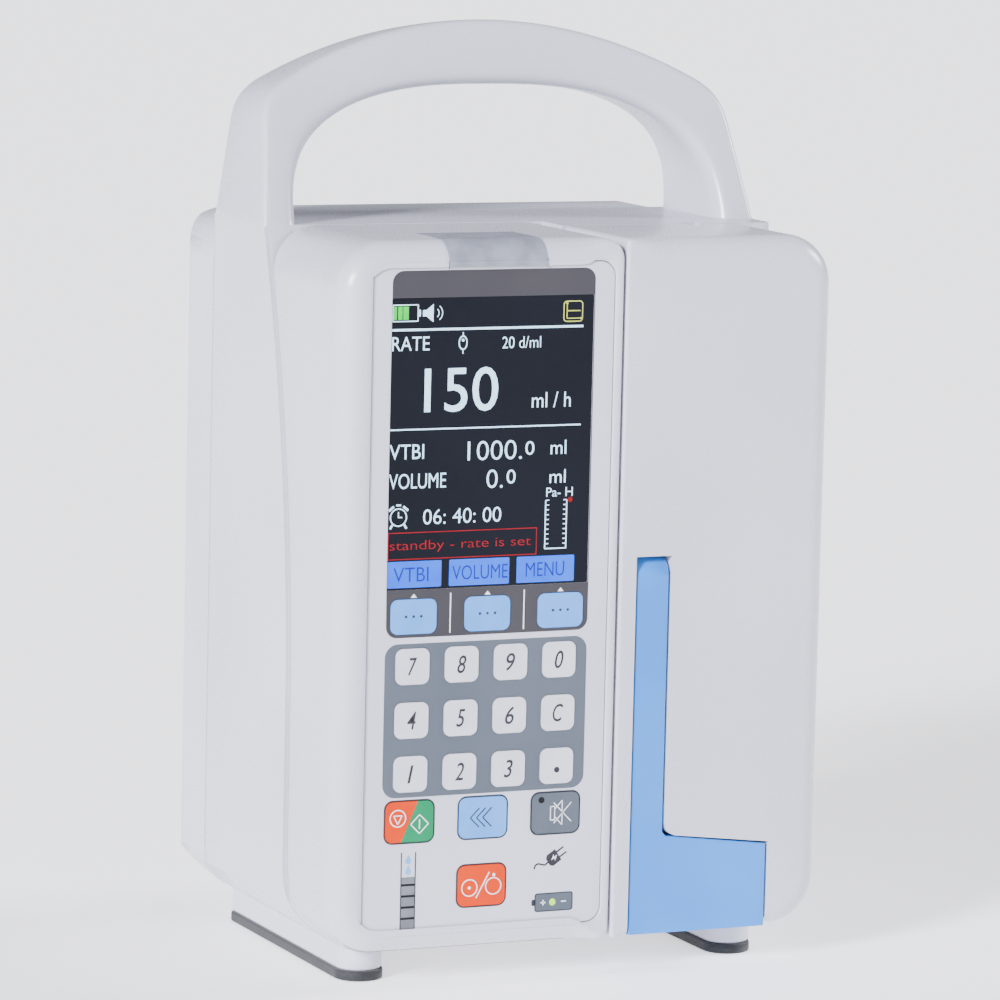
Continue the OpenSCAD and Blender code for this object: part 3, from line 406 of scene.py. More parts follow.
def lettering(words, x0, x1, z0, z1, y, weight=0.0, shear=0.0, thick=0.03):
    """Words as a thin raised print that fills a box."""
    curve = bpy.data.curves.new("lettering", "FONT")
    curve.body = words
    curve.offset = weight
    curve.shear = shear
    curve.extrude = 0.5
    curve.resolution_u = 4
    holder = new_object("lettering", curve)
    mesh = baked(holder)
    discard(holder)
    bpy.data.curves.remove(curve)
    xs = [v.co.x for v in mesh.vertices]
    zs = [v.co.y for v in mesh.vertices]
    sx = (x1 - x0) / (max(xs) - min(xs))
    sz = (z1 - z0) / (max(zs) - min(zs))
    for v in mesh.vertices:
        v.co = at(x0 + (v.co.x - min(xs)) * sx, y + (0.5 - v.co.z) * thick, z0 + (v.co.y - min(zs)) * sz)
    return mesh


def circle(x, z, r, n=28):
    return [(x + r * cos(2 * pi * i / n), z + r * sin(2 * pi * i / n)) for i in range(n)]


def ring_loops(x, z, r, width):
    return [circle(x, z, r + width / 2), circle(x, z, r - width / 2)]


def bar(x0, z0, x1, z1, width):
    """A straight stroke."""
    along = Vector((x1 - x0, z1 - z0)).normalized() * width / 2
    dx, dz = -along.y, along.x
    return [(x0 + dx, z0 + dz), (x0 - dx, z0 - dz), (x1 - dx, z1 - dz), (x1 + dx, z1 + dz)]


def bars(look, width, *ends):
    """Items for ink: straight strokes of one width, each between its two ends."""
    return [(look, [bar(*e, width)]) for e in ends]


def frame_loops(x0, x1, z0, z1, r, width):
    inner = max(0.05, r - width)
    return [loop(x0, x1, z0, z1, [r] * 4, corner=4),
            loop(x0 + width, x1 - width, z0 + width, z1 - width, [inner] * 4, corner=4)]


def ink(items, y, thick=0.03):
    """Parts for assemble from (finish, loops) items printed at depth y."""
    return [(flat_mesh(loops, y, thick), look) for look, loops in items]


def strokes(look, path, width):
    """Items for ink that follow a path of points."""
    return [(look, [bar(*a, *b, width)]) for a, b in zip(path, path[1:])]


def cut(base, *tools):
    """The base mesh less every tool mesh."""
    body = new_object("base", base)
    cutters = [new_object("tool", t) for t in tools]
    for c in cutters:
        step = body.modifiers.new("Cut", "BOOLEAN")
        step.operation = "DIFFERENCE"
        step.solver = "EXACT"
        step.object = c
    mesh = baked(body)
    discard(body, *cutters)
    return mesh


def prism(points, y0, y1):
    return ring_mesh([[(x, y0, z) for x, z in points], [(x, y1, z) for x, z in points]])


def box_mesh(x, y, z):
    return prism([(x[0], z[0]), (x[1], z[0]), (x[1], z[1]), (x[0], z[1])], y[0], y[1])


def upright(cx, cy, z0, z1, r, n=32):
    """An upright round bar."""
    return ring_mesh([[(cx + r * cos(2 * pi * i / n), cy + r * sin(2 * pi * i / n), z) for i in range(n)]
                      for z in (z0, z1)])


def resample(points, fractions):
    """Points at fractions of the length of a path."""
    marks = [0.0]
    for a, b in zip(points, points[1:]):
        marks.append(marks[-1] + sqrt((a[0] - b[0]) ** 2 + (a[1] - b[1]) ** 2))
    found = []
    for f in fractions:
        target = f * marks[-1]
        i = max(k for k in range(len(points) - 1) if marks[k] <= target + 1e-9)
        t = (target - marks[i]) / max(1e-9, marks[i + 1] - marks[i])
        found.append(tuple(points[i][k] + (points[i + 1][k] - points[i][k]) * t for k in (0, 1)))
    return found


def soft_polygon(vertices, radii, n=5):
    """A closed section whose corners are rounded, with the same number of points each time."""
    points = []
    count = len(vertices)
    for i, (v, r) in enumerate(zip(vertices, radii)):
        v = Vector(v)
        before, after = Vector(vertices[i - 1]) - v, Vector(vertices[(i + 1) % count]) - v
        a = v + before.normalized() * min(r, before.length * 0.45)
        b = v + after.normalized() * min(r, after.length * 0.45)
        for k in range(n + 1):
            t = k / n
            points.append((1 - t) ** 2 * a + 2 * t * (1 - t) * v + t * t * b)
    return points


# ---------- repeats made with geometry nodes ----------


def growth_tree(name, sizes):
    """A geometry node tree whose inputs are the named sizes, with its input and output nodes."""
    tree = bpy.data.node_groups.new(name, "GeometryNodeTree")
    tree.interface.new_socket(name="Geometry", in_out="OUTPUT", socket_type="NodeSocketGeometry")
    for label, kind in sizes:
        tree.interface.new_socket(name=label, in_out="INPUT", socket_type="NodeSocket" + kind)
    return tree, tree.nodes.new("NodeGroupInput").outputs, tree.nodes.new("NodeGroupOutput").inputs


def close_tree(tree, geometry, out, look):
    """Realize the instances, give them their material and lead them out."""
    solid = add_node(tree, "GeometryNodeRealizeInstances", {"Geometry": geometry})
    dressed = add_node(tree, "GeometryNodeSetMaterial", {
        "Geometry": solid.outputs[0], "Material": finish(look)})
    tree.links.new(dressed.outputs[0], out["Geometry"])


def coil_tree(name, look):
    """Round wire wound along Y, repeated up a row."""
    tree, size, out = growth_tree(name, [
        ("Turns", "Float"), ("Wire Radius", "Float"), ("Coil Radius", "Float"), ("Length", "Float"),
        ("Count", "Int"), ("First", "Vector"), ("Step", "Vector"), ("Sides", "Int")])
    wire = add_node(tree, "GeometryNodeCurveSpiral", {
        "Resolution": 20, "Rotations": size["Turns"], "Start Radius": size["Coil Radius"],
        "End Radius": size["Coil Radius"], "Height": size["Length"]})
    turned = add_node(tree, "GeometryNodeTransform", {
        "Geometry": wire.outputs["Curve"], "Rotation": (radians(-90), 0, 0)})
    section = add_node(tree, "GeometryNodeCurvePrimitiveCircle", {
        "Resolution": size["Sides"], "Radius": size["Wire Radius"]})
    round_wire = add_node(tree, "GeometryNodeCurveToMesh", {
        "Curve": turned.outputs["Geometry"], "Profile Curve": section.outputs["Curve"], "Fill Caps": True})
    row = add_node(tree, "GeometryNodeMeshLine", {
        "Count": size["Count"], "Start Location": size["First"], "Offset": size["Step"]})
    copies = add_node(tree, "GeometryNodeInstanceOnPoints", {
        "Points": row.outputs["Mesh"], "Instance": round_wire.outputs["Mesh"]})
    close_tree(tree, copies.outputs["Instances"], out, look)
    return tree


def row_tree(name, look):
    """Small blocks repeated in a grid of columns and rows."""
    tree, size, out = growth_tree(name, [
        ("Block", "Vector"), ("Columns", "Int"), ("Rows", "Int"), ("First", "Vector"),
        ("Column Step", "Vector"), ("Row Step", "Vector")])
    block = add_node(tree, "GeometryNodeMeshCube", {"Size": size["Block"]})
    column = add_node(tree, "GeometryNodeMeshLine", {
        "Count": size["Columns"], "Start Location": size["First"], "Offset": size["Column Step"]})
    line = add_node(tree, "GeometryNodeInstanceOnPoints", {
        "Points": column.outputs["Mesh"], "Instance": block.outputs["Mesh"]})
    rows = add_node(tree, "GeometryNodeMeshLine", {"Count": size["Rows"], "Offset": size["Row Step"]})
    grid = add_node(tree, "GeometryNodeInstanceOnPoints", {
        "Points": rows.outputs["Mesh"], "Instance": line.outputs["Instances"]})
    close_tree(tree, grid.outputs["Instances"], out, look)
    return tree


def grown(tree, **sizes):
    """The plain mesh that a tree makes at these sizes."""
    holder = new_object("growth", bpy.data.meshes.new("growth"))
    step = holder.modifiers.new("Growth", "NODES")
    step.node_group = tree
    for socket in tree.interface.items_tree:
        if socket.in_out == "INPUT":
            step[socket.identifier] = sizes[socket.name.replace(" ", "_")]
    mesh = baked(holder)
    discard(holder)
    return mesh


# ---------- sizes and colours that a user would change ----------


def length(name, description, default, low, high):
    """A length that a user may set, in metres."""
    return FloatProperty(
        name=name, description=description, default=default, min=low, max=high, unit="LENGTH")


class PumpShellSizes(bpy.types.PropertyGroup):
    """Roundings of the moulded shells."""

    front_fillet: length("Front Fillet", "Radius of the rolled front edges", 0.006, 0.004, 0.008)
    seam_fillet: length("Seam Fillet", "Radius of the edges along the door seam", 0.0009, 0.0003, 0.002)
    band_edge: length("Band Edge", "Rounding of the side band's front edge", 0.0018, 0.001, 0.003)
    grip_edge: length("Grip Edge", "Rounding of the handle round the finger gap", 0.0065, 0.003, 0.008)


class PumpPrintSizes(bpy.types.PropertyGroup):
    """Front film, keys and printed graphics."""

    film_gap: length("Film Gap", "Gap between the front film and its pocket", 0.0003, 0.0001, 0.0006)
    key_edge: length("Key Edge", "Rounding of the embossed key edges", 0.0003, 0.0001, 0.0005)
    stroke: length("Stroke", "Width of the symbols' lines", 0.0003, 0.0002, 0.0006)


class PumpMechanismSizes(bpy.types.PropertyGroup):
    """Springs and the clamp screw's thread."""

    spring_turns: FloatProperty(
        name="Spring Turns", description="Turns of each platen spring", default=5.5, min=3, max=8)
    spring_wire: length("Spring Wire", "Diameter of the spring wire", 0.0007, 0.0004, 0.001)
    thread_pitch: length("Thread Pitch", "Pitch of the clamp screw's thread", 0.002, 0.0015, 0.003)


class PumpStageSettings(bpy.types.PropertyGroup):
    """Floor, light and camera."""

    lens: FloatProperty(
        name="Lens", description="Focal length on a 36 mm wide sensor", default=196.8, unit="CAMERA")
    floor_colour: FloatVectorProperty(
        name="Floor Colour", description="Colour of the pale floor", subtype="COLOR", size=3,
        default=linear("#FBFBFB")[:3], min=0, max=1)
    floor_glow: FloatProperty(
        name="Floor Glow", description="Light given off by the floor, as on a lit table", default=0.9,
        min=0, max=3)
    left_light: FloatProperty(
        name="Left Light", description="Strength of the broad soft light from the left", default=9.0,
        min=0, max=20)
    right_light: FloatProperty(
        name="Right Light", description="Strength of the soft light from the right", default=4.6,
        min=0, max=20)
    room_light: FloatProperty(
        name="Room Light", description="Strength of the even light all round", default=0.32, min=0, max=3)


# ---------- moulded shells ----------


class PUMP_OT_front_case(bpy.types.Operator):
    """Front case: a shell with rolled edges, a pocket for the film and its swept rear edge"""

    bl_idname = "pump.front_case"
    bl_label = "Front Case"

    def execute(self, context):
        sizes = context.scene.pump_shell
        full, tight = sizes.front_fillet / MM, sizes.seam_fillet / MM
        x0, x1 = CASE_LO[0], CASE_HI[0]
        grid = dict(corner=16, side=24)
        points = outline(x0, x1, FLOOR_Z, TOP_Z, [CORNER, 3, 5, CORNER], **grid)

        def fillet(x, z):
            return full + (tight - full) * smooth((x - x1 + 11) / 11)

        def back(x, z):
            lip_top = FLOOR_Z + LIP_HEIGHT
            return BAND_LO[1] - 0.3 if z < lip_top - 0.5 else band_front(max(z, lip_top)) - 0.9

        rings = rolled_rings(points, CASE_LO[1], fillet, back, steps=9, depth=10)
        hole = [OVERLAY_LO[0], OVERLAY_HI[0], OVERLAY_LO[2], OVERLAY_HI[2]]

        def pocket(grow, y):
            x0, x1, z0, z1 = hole
            spot = loop(x0 - grow, x1 + grow, z0 - grow, z1 + grow, [4 + grow] * 4, **grid)
            return [(x, y, z) for x, z in spot]

        def opening(y):
            x0, x1, z0, z1 = hole
            return [(x, y, z) for x, z in loop(x0 + 4, x1 - 4, z0 + 4, z1 - 4, [2] * 4, **grid)]

        floor = OVERLAY_HI[1] + 0.05
        front = [opening(3.5), opening(floor), pocket(0, floor), pocket(0, 0.15), pocket(0.15, 0)]
        wall = 2.4
        inner = [[(x - nx * wall, back(x, z), z - nz * wall) for (x, z), (nx, nz) in points],
                 [(x - nx * wall, min(6.5, back(x, z)), z - nz * wall) for (x, z), (nx, nz) in points],
                 [(x - nx * 3.4, 3.5, z - nz * 3.4) for (x, z), (nx, nz) in outline(
                     x0, x1, FLOOR_Z, TOP_Z, [CORNER, 3.5, 5, CORNER], **grid)]]
        mesh = ring_mesh(front + rings + inner, closed=True)
        piece = assemble("front_case_shell", [(mesh, "abs_satin_white")])
        finish_piece(piece, ROOT, ["front_case"], edge=0.12, angle=60, segments=2)
        return {"FINISHED"}


class PUMP_OT_band_and_handle(bpy.types.Operator):
    """Side bands and carry handle: one section led up the left side, over the arch and down"""

    bl_idname = "pump.band_and_handle"
    bl_label = "Side Bands and Handle"

    def execute(self, context):
        sizes = context.scene.pump_shell
        proud = 0.12
        side = BAND_HI[0] + proud
        centre = BAND_HI[0] - CORNER
        rear = 84.0
        wall = 3.3
        lean, arc_r = 4.0, 115.0
        arc_z = HANDLE_TOP - arc_r
        shoulder = side - lean
        shoulder_z = arc_z + sqrt(arc_r ** 2 - shoulder ** 2)
        gap, gap_rise = 56.0, 32.5

        # Half of the arch, seen from the front, from the foot of a leg to the middle
        a, b = Vector((side, TOP_Z)), Vector((shoulder, shoulder_z))
        reach = 6.0
        knee = b + (a - b).normalized() * reach
        start = shoulder - reach * 0.92
        after = Vector((start, arc_z + sqrt(arc_r ** 2 - start ** 2)))
        outer = [tuple(a.lerp(knee, i / 12)) for i in range(12)]
        outer += [tuple((1 - t) ** 2 * knee + 2 * t * (1 - t) * b + t * t * after)
                  for t in (i / 8 for i in range(9))]
        outer += [(start * (1 - i / 30), arc_z + sqrt(arc_r ** 2 - (start * (1 - i / 30)) ** 2))
                  for i in range(1, 31)]
        inner = [(gap * abs(cos(t)) ** (2 / 2.6), TOP_Z + gap_rise * abs(sin(t)) ** (2 / 2.6))
                 for t in (radians(90 * i / 60) for i in range(61))]
        fractions = [i / 56 for i in range(57)]
        arch = list(zip(resample(outer, fractions), resample(inner, fractions)))

        def section(o, i, front_o, front_i, taper, grip, edge):
            thick = (Vector(o) - Vector(i)).length
            crease = rear - 16 + 4 * taper
            back = rear + 0.05 - 3 * max(0, o[1] - TOP_Z) / (HANDLE_TOP - TOP_Z)
            shape = soft_polygon(
                [(thick, front_o), (thick, crease), (thick - 1, back), (0, back), (0, front_i)],
                [edge, 4, 1.6, grip, grip])
            n = (Vector(o) - Vector(i)) / thick
            return [(i[0] + n.x * p.x, p.y, i[1] + n.y * p.x) for p in shape]

        def bottom(front):
            """Sections from under the body up the rounded corner and the side."""
            made = []
            for x in (40.0, 46.0, 52.0):
                made.append(((x, FLOOR_Z - proud), (x, FLOOR_Z + wall)))
            for k in range(33):
                t = radians(90 - 90 * k / 32)
                made.append((
                    (centre + (CORNER + proud) * cos(t), FLOOR_Z + CORNER - (CORNER + proud) * sin(t)),
                    (centre + (CORNER - wall) * cos(t), FLOOR_Z + CORNER - (CORNER - wall) * sin(t))))
            count = 44
            for k in range(1, count):
                z = FLOOR_Z + CORNER + (TOP_Z - FLOOR_Z - CORNER) * k / count
                lead = smooth((z - TOP_Z + 16) / 16)
                made.append(((side, z), (side - wall + (gap - side + wall) * lead, z)))
            return [section(o, i, front(o[1]), front(max(o[1], FLOOR_Z)), 0, 0.6, sizes.band_edge / MM)
                    for o, i in made]

        def over(half):
            made = []
            for k, (o, i) in enumerate(half):
                t = smooth(k / 20)
                made.append(section(o, i, sweep(o[1]) - proud, sweep(i[1]) - proud, t,
                                    sizes.grip_edge / MM, sizes.band_edge / MM + 0.5 * t))
            return made

        def flip(rings):
            return [[(-x, y, z) for x, y, z in ring] for ring in rings]

        bay = box_mm("pump_chassis")[0][1]

        def left_front(z):
            return band_front(z) - proud

        def right_front(z):
            return bay + 1.05

        rings = flip(bottom(left_front)) + flip(over(arch)) + over(arch)[-2::-1] + bottom(right_front)[::-1]
        piece = assemble("band_and_handle", [(ring_mesh(rings), "abs_satin_white")])
        finish_piece(piece, ROOT, ["carry_handle"])
        return {"FINISHED"}


def lever_recess(grow):
    """Outline of the lever's recess: an upright and a foot that runs off the lower edge."""
    x0, z0 = LEVER_LO[0] - grow, FLOOR_Z - 2
    bar_x = LEVER_LO[0] + 8.4 + grow
    foot_x = LEVER_HI[0] + grow
    foot_z = LEVER_LO[2] + 20.5 + grow
    top = LEVER_HI[2] + grow
    corner = [(bar_x + a, foot_z + b) for a, b in ((2.6, 3.0), (1.2, 3.6), (0.3, 4.6), (0, 6.2))]
    return [(x0, z0), (foot_x, z0), (foot_x, foot_z), *corner, (bar_x, top), (x0, top)]


class PUMP_OT_door(bpy.types.Operator):
    """Door: a hollow shell with rolled edges, the lever's recess and the hinge knuckles"""

    bl_idname = "pump.door"
    bl_label = "Door"

    def execute(self, context):
        sizes = context.scene.pump_shell
        full, tight = sizes.front_fillet / MM, sizes.seam_fillet / MM
        x0, x1, depth = DOOR_LO[0], DOOR_HI[0], DOOR_HI[1]
        wall = 2.5

        def fillet(x, z):
            return tight + (full - tight) * smooth((x - x0) / 11)

        def rear(nx, nz):
            return 0.3 + 3.7 * max(0, nx)

        points = outline(x0, x1, FLOOR_Z, TOP_Z, [1.2, CORNER, CORNER, 1.2], corner=14, side=10)
        outside = ring_mesh(rolled_rings(points, 0, fillet, lambda x, z: depth, steps=9, depth=2, rear=rear))
        inside = outline(x0 + wall, x1 - wall, FLOOR_Z + wall, TOP_Z - wall, [0.6, 9.5, 9.5, 0.6],
                         corner=10, side=4)
        hollow = ring_mesh(rolled_rings(
            inside, wall, lambda x, z: min(3.5, 0.5 + max(0, x - x0 - wall) * 0.4), lambda x, z: depth + 1,
            steps=4, depth=2))
        hinge_r = 4
        axis_x, axis_y = x1 - hinge_r, depth - hinge_r
        knuckles = [FLOOR_Z + 16.5, TOP_Z - 19]
        housing = prism(lever_recess(2.5), -1, 11.8)
        bosses = [box_mesh((axis_x - hinge_r, x1 + 1), (axis_y - hinge_r, depth + 2), (z - 7, z + 9.4))
                  for z in knuckles]
        hollow = cut(hollow, housing, *bosses)
        slots = [upright(axis_x, axis_y, z - 0.3, z + 2.7, 5.6) for z in knuckles]
        holes = [upright(axis_x, axis_y, z - 8, z + 10.4, 2.0) for z in knuckles]
        tube_x, tube_half = x1 - 21.5, 2.5
        ends = [box_mesh((tube_x - tube_half, tube_x + tube_half), (31, depth + 3), span)
                for span in ((TOP_Z - 3.5, TOP_Z + 1), (FLOOR_Z - 1, FLOOR_Z + 3.5))]
        pin_r, pin_y, pin_z = 1.5, 4.8, LEVER_HI[2] - 4.4
        pivot = ring_mesh([[(x, pin_y + pin_r * cos(2 * pi * i / 20), pin_z + pin_r * sin(2 * pi * i / 20))
                            for i in range(20)] for x in (LEVER_LO[0] - 1.6, LEVER_LO[0] + 10)])
        mesh = cut(outside, hollow, prism(lever_recess(0.5), -1, 9.8), *slots, *holes, *ends, pivot)
        piece = assemble("door_shell_rolled", [(mesh, "abs_satin_white")])
        finish_piece(piece, "door", ["door_shell"], edge=0.25, angle=50, segments=2)
        return {"FINISHED"}


class PUMP_OT_alarm_lamp(bpy.types.Operator):
    """Alarm lamp: a frosted lens that wraps from the front face over the top"""

    bl_idname = "pump.alarm_lamp"
    bl_label = "Alarm Lamp"

    def execute(self, context):
        fillet = context.scene.pump_shell.front_fillet / MM
        x0, x1 = LAMP_LO[0] + 0.1, LAMP_HI[0] - 0.1
        proud, thick = 0.22, 1.4

        def path(grow):
            r = fillet + grow
            turn = [(fillet - r * cos(t), TOP_Z - fillet + r * sin(t))
                    for t in (radians(90 * i / 10) for i in range(11))]
            return [(-grow, LAMP_LO[2] + 0.1)] + turn + [(LAMP_HI[1], TOP_Z + grow)]

        lens = path(proud) + path(-thick)[::-1]
        mesh = ring_mesh([[(x, y, z) for y, z in lens] for x in (x0, x1)])
        piece = assemble("alarm_lamp_lens", [(mesh, "polycarbonate_frosted")])
        finish_piece(piece, ROOT, ["alarm_lamp"], edge=0.35, angle=50)
        return {"FINISHED"}


# ---------- front film, display and keys ----------

KEY_NODES = [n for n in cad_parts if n.startswith("key_")]
CAP_THICK = 1.35


def key_box(node):
    """Centre, half width and half height of a key's face; the plunger behind is wider."""
    lo, hi = box_mm(node)
    return (lo[0] + hi[0]) / 2, (lo[2] + hi[2]) / 2, (hi[0] - lo[0]) / 2 - 0.7, (hi[2] - lo[2]) / 2 - 0.7


def key_loop(node, grow):
    x, z, w, h = key_box(node)
    return loop(x - w - grow, x + w + grow, z - h - grow, z + h + grow, [1.8 + grow] * 4, corner=6)


class PUMP_OT_front_film(bpy.types.Operator):
    """Front film: clear-edged polyester with its printed panels and symbols"""

    bl_idname = "pump.front_film"
    bl_label = "Front Film"

    def execute(self, context):
        gap = context.scene.pump_print.film_gap / MM
        x0, x1, z0, z1 = OVERLAY_LO[0] + gap, OVERLAY_HI[0] - gap, OVERLAY_LO[2] + gap, OVERLAY_HI[2] - gap
        face = OVERLAY_LO[1]
        window = loop(DISPLAY_LO[0], DISPLAY_HI[0], DISPLAY_LO[2], DISPLAY_HI[2], [0.4] * 4, corner=3)
        holes = {n: key_loop(n, 0.15) for n in KEY_NODES}
        film = flat_mesh([loop(x0, x1, z0, z1, [3.8] * 4, corner=12), window, *holes.values()], face, 0.95)
        soft = [n for n in KEY_NODES if "soft" in n]
        other = ("key_start_stop", "key_bolus", "key_mute", "key_power")
        numbers = [n for n in KEY_NODES if n not in soft and n not in other]
        left, right = DISPLAY_LO[0] + 0.05, DISPLAY_HI[0] + 0.22
        header = flat_mesh([loop(left, right, 85.5, 172.3, [2.8] * 4, corner=8), window,
                            *[holes[n] for n in soft]], face - 0.03, 0.03)
        pad = flat_mesh([loop(left - 0.15, right, 47.2, 84.05, [3.3] * 4, corner=8),
                         *[holes[n] for n in numbers]], face - 0.03, 0.03)
        items = []
        for n in other:
            items.append(("ink_legend", [key_loop(n, 0.42), key_loop(n, 0.12)]))
        for n in soft:
            x, _, _, h = key_box(n)
            items.append(("ink_white", [[(x - 0.8, 95.0), (x + 0.8, 95.0), (x, 95.95)]]))
        items += bars("ink_white", 0.3, *((x, 86.3, x, 95.8) for x in (-35.55, -16.5)))
        # Tube level: open tube, two drops and the striped column
        items += bars("ink_legend", 0.28, *((x, 14.9, x, 34.0) for x in (-46.8, -43.15)))
        items.append(("ink_stripe_grey", [[(-46.7, 14.9), (-43.25, 14.9), (-43.25, 28.0), (-46.7, 28.0)]]))
        for drop_z in (32.2, 29.6):
            drop = [(-45.0 + 0.72 * cos(t), drop_z - 0.35 + 0.72 * sin(t))
                    for t in (radians(150 + 240 * i / 14) for i in range(15))]
            items.append(("ink_drop_blue", [drop + [(-45.0, drop_z + 1.25)]]))
        panel = ink(items, face - 0.05) + ink(
            bars("ink_dark", 0.55, *((-46.7, z, -43.25, z) for z in (26.1, 23.4, 20.7, 18.0, 15.2))),
            face - 0.07)
        panel += self.plug(face) + self.battery(face)
        piece = assemble("front_film", [(film, "polyester_film"), (header, "ink_header_grey"),
                                        (pad, "ink_keypad_grey"), *panel])
        finish_piece(piece, ROOT, ["front_overlay"])
        return {"FINISHED"}

    def plug(self, face):
        """A mains plug with its lead, drawn on a slant."""
        x, z, tilt = -7.0, 30.4, radians(34)

        def spot(a, b):
            return (x + a * cos(tilt) - b * sin(tilt), z + a * sin(tilt) + b * cos(tilt))

        body = [spot(*p) for p in ((-1.9, -0.9), (-1.3, -1.6), (1.3, -1.6),
                                   (1.3, 1.6), (-1.3, 1.6), (-1.9, 0.9))]
        items = [("ink_legend", [body])]
        items += bars("ink_legend", 0.42, *((*spot(1.3, side), *spot(3.4, side)) for side in (-0.75, 0.75)))
        lead = [spot(-1.9, 0), spot(-2.9, -0.1), (-10.3, 28.9), (-11.2, 29.15), (-11.95, 28.7), (-12.2, 27.8)]
        items += strokes("ink_legend", lead, 0.42)
        bolt = [spot(*p) for p in ((-0.9, -0.1), (0.3, 0.75), (0.1, 0.1),
                                   (1.0, 0.15), (-0.2, -0.8), (0.0, -0.15))]
        return ink(items, face - 0.03) + ink([("ink_white", [bolt])], face - 0.05)

    def battery(self, face):
        """A battery with plus, charge lamp and minus."""
        cell = [("ink_legend", [loop(-11.9, -1.8, 17.3, 21.9, [0.7] * 4, corner=4)]),
                ("ink_legend", [loop(-12.7, -11.7, 18.9, 20.4, [0.3] * 4, corner=3)])]
        inside = [("film_key_grey", [loop(-11.6, -2.1, 17.6, 21.6, [0.5] * 4, corner=4)])]
        marks = bars("ink_white", 0.3, (-10.3, 19.55, -9.0, 19.55), (-9.65, 18.9, -9.65, 20.2),
                     (-4.9, 19.6, -3.6, 19.6))
        marks.append(("led_green", [circle(-7.2, 19.55, 0.85)]))
        return ink(cell, face - 0.03) + ink(inside, face - 0.045) + ink(marks, face - 0.06)


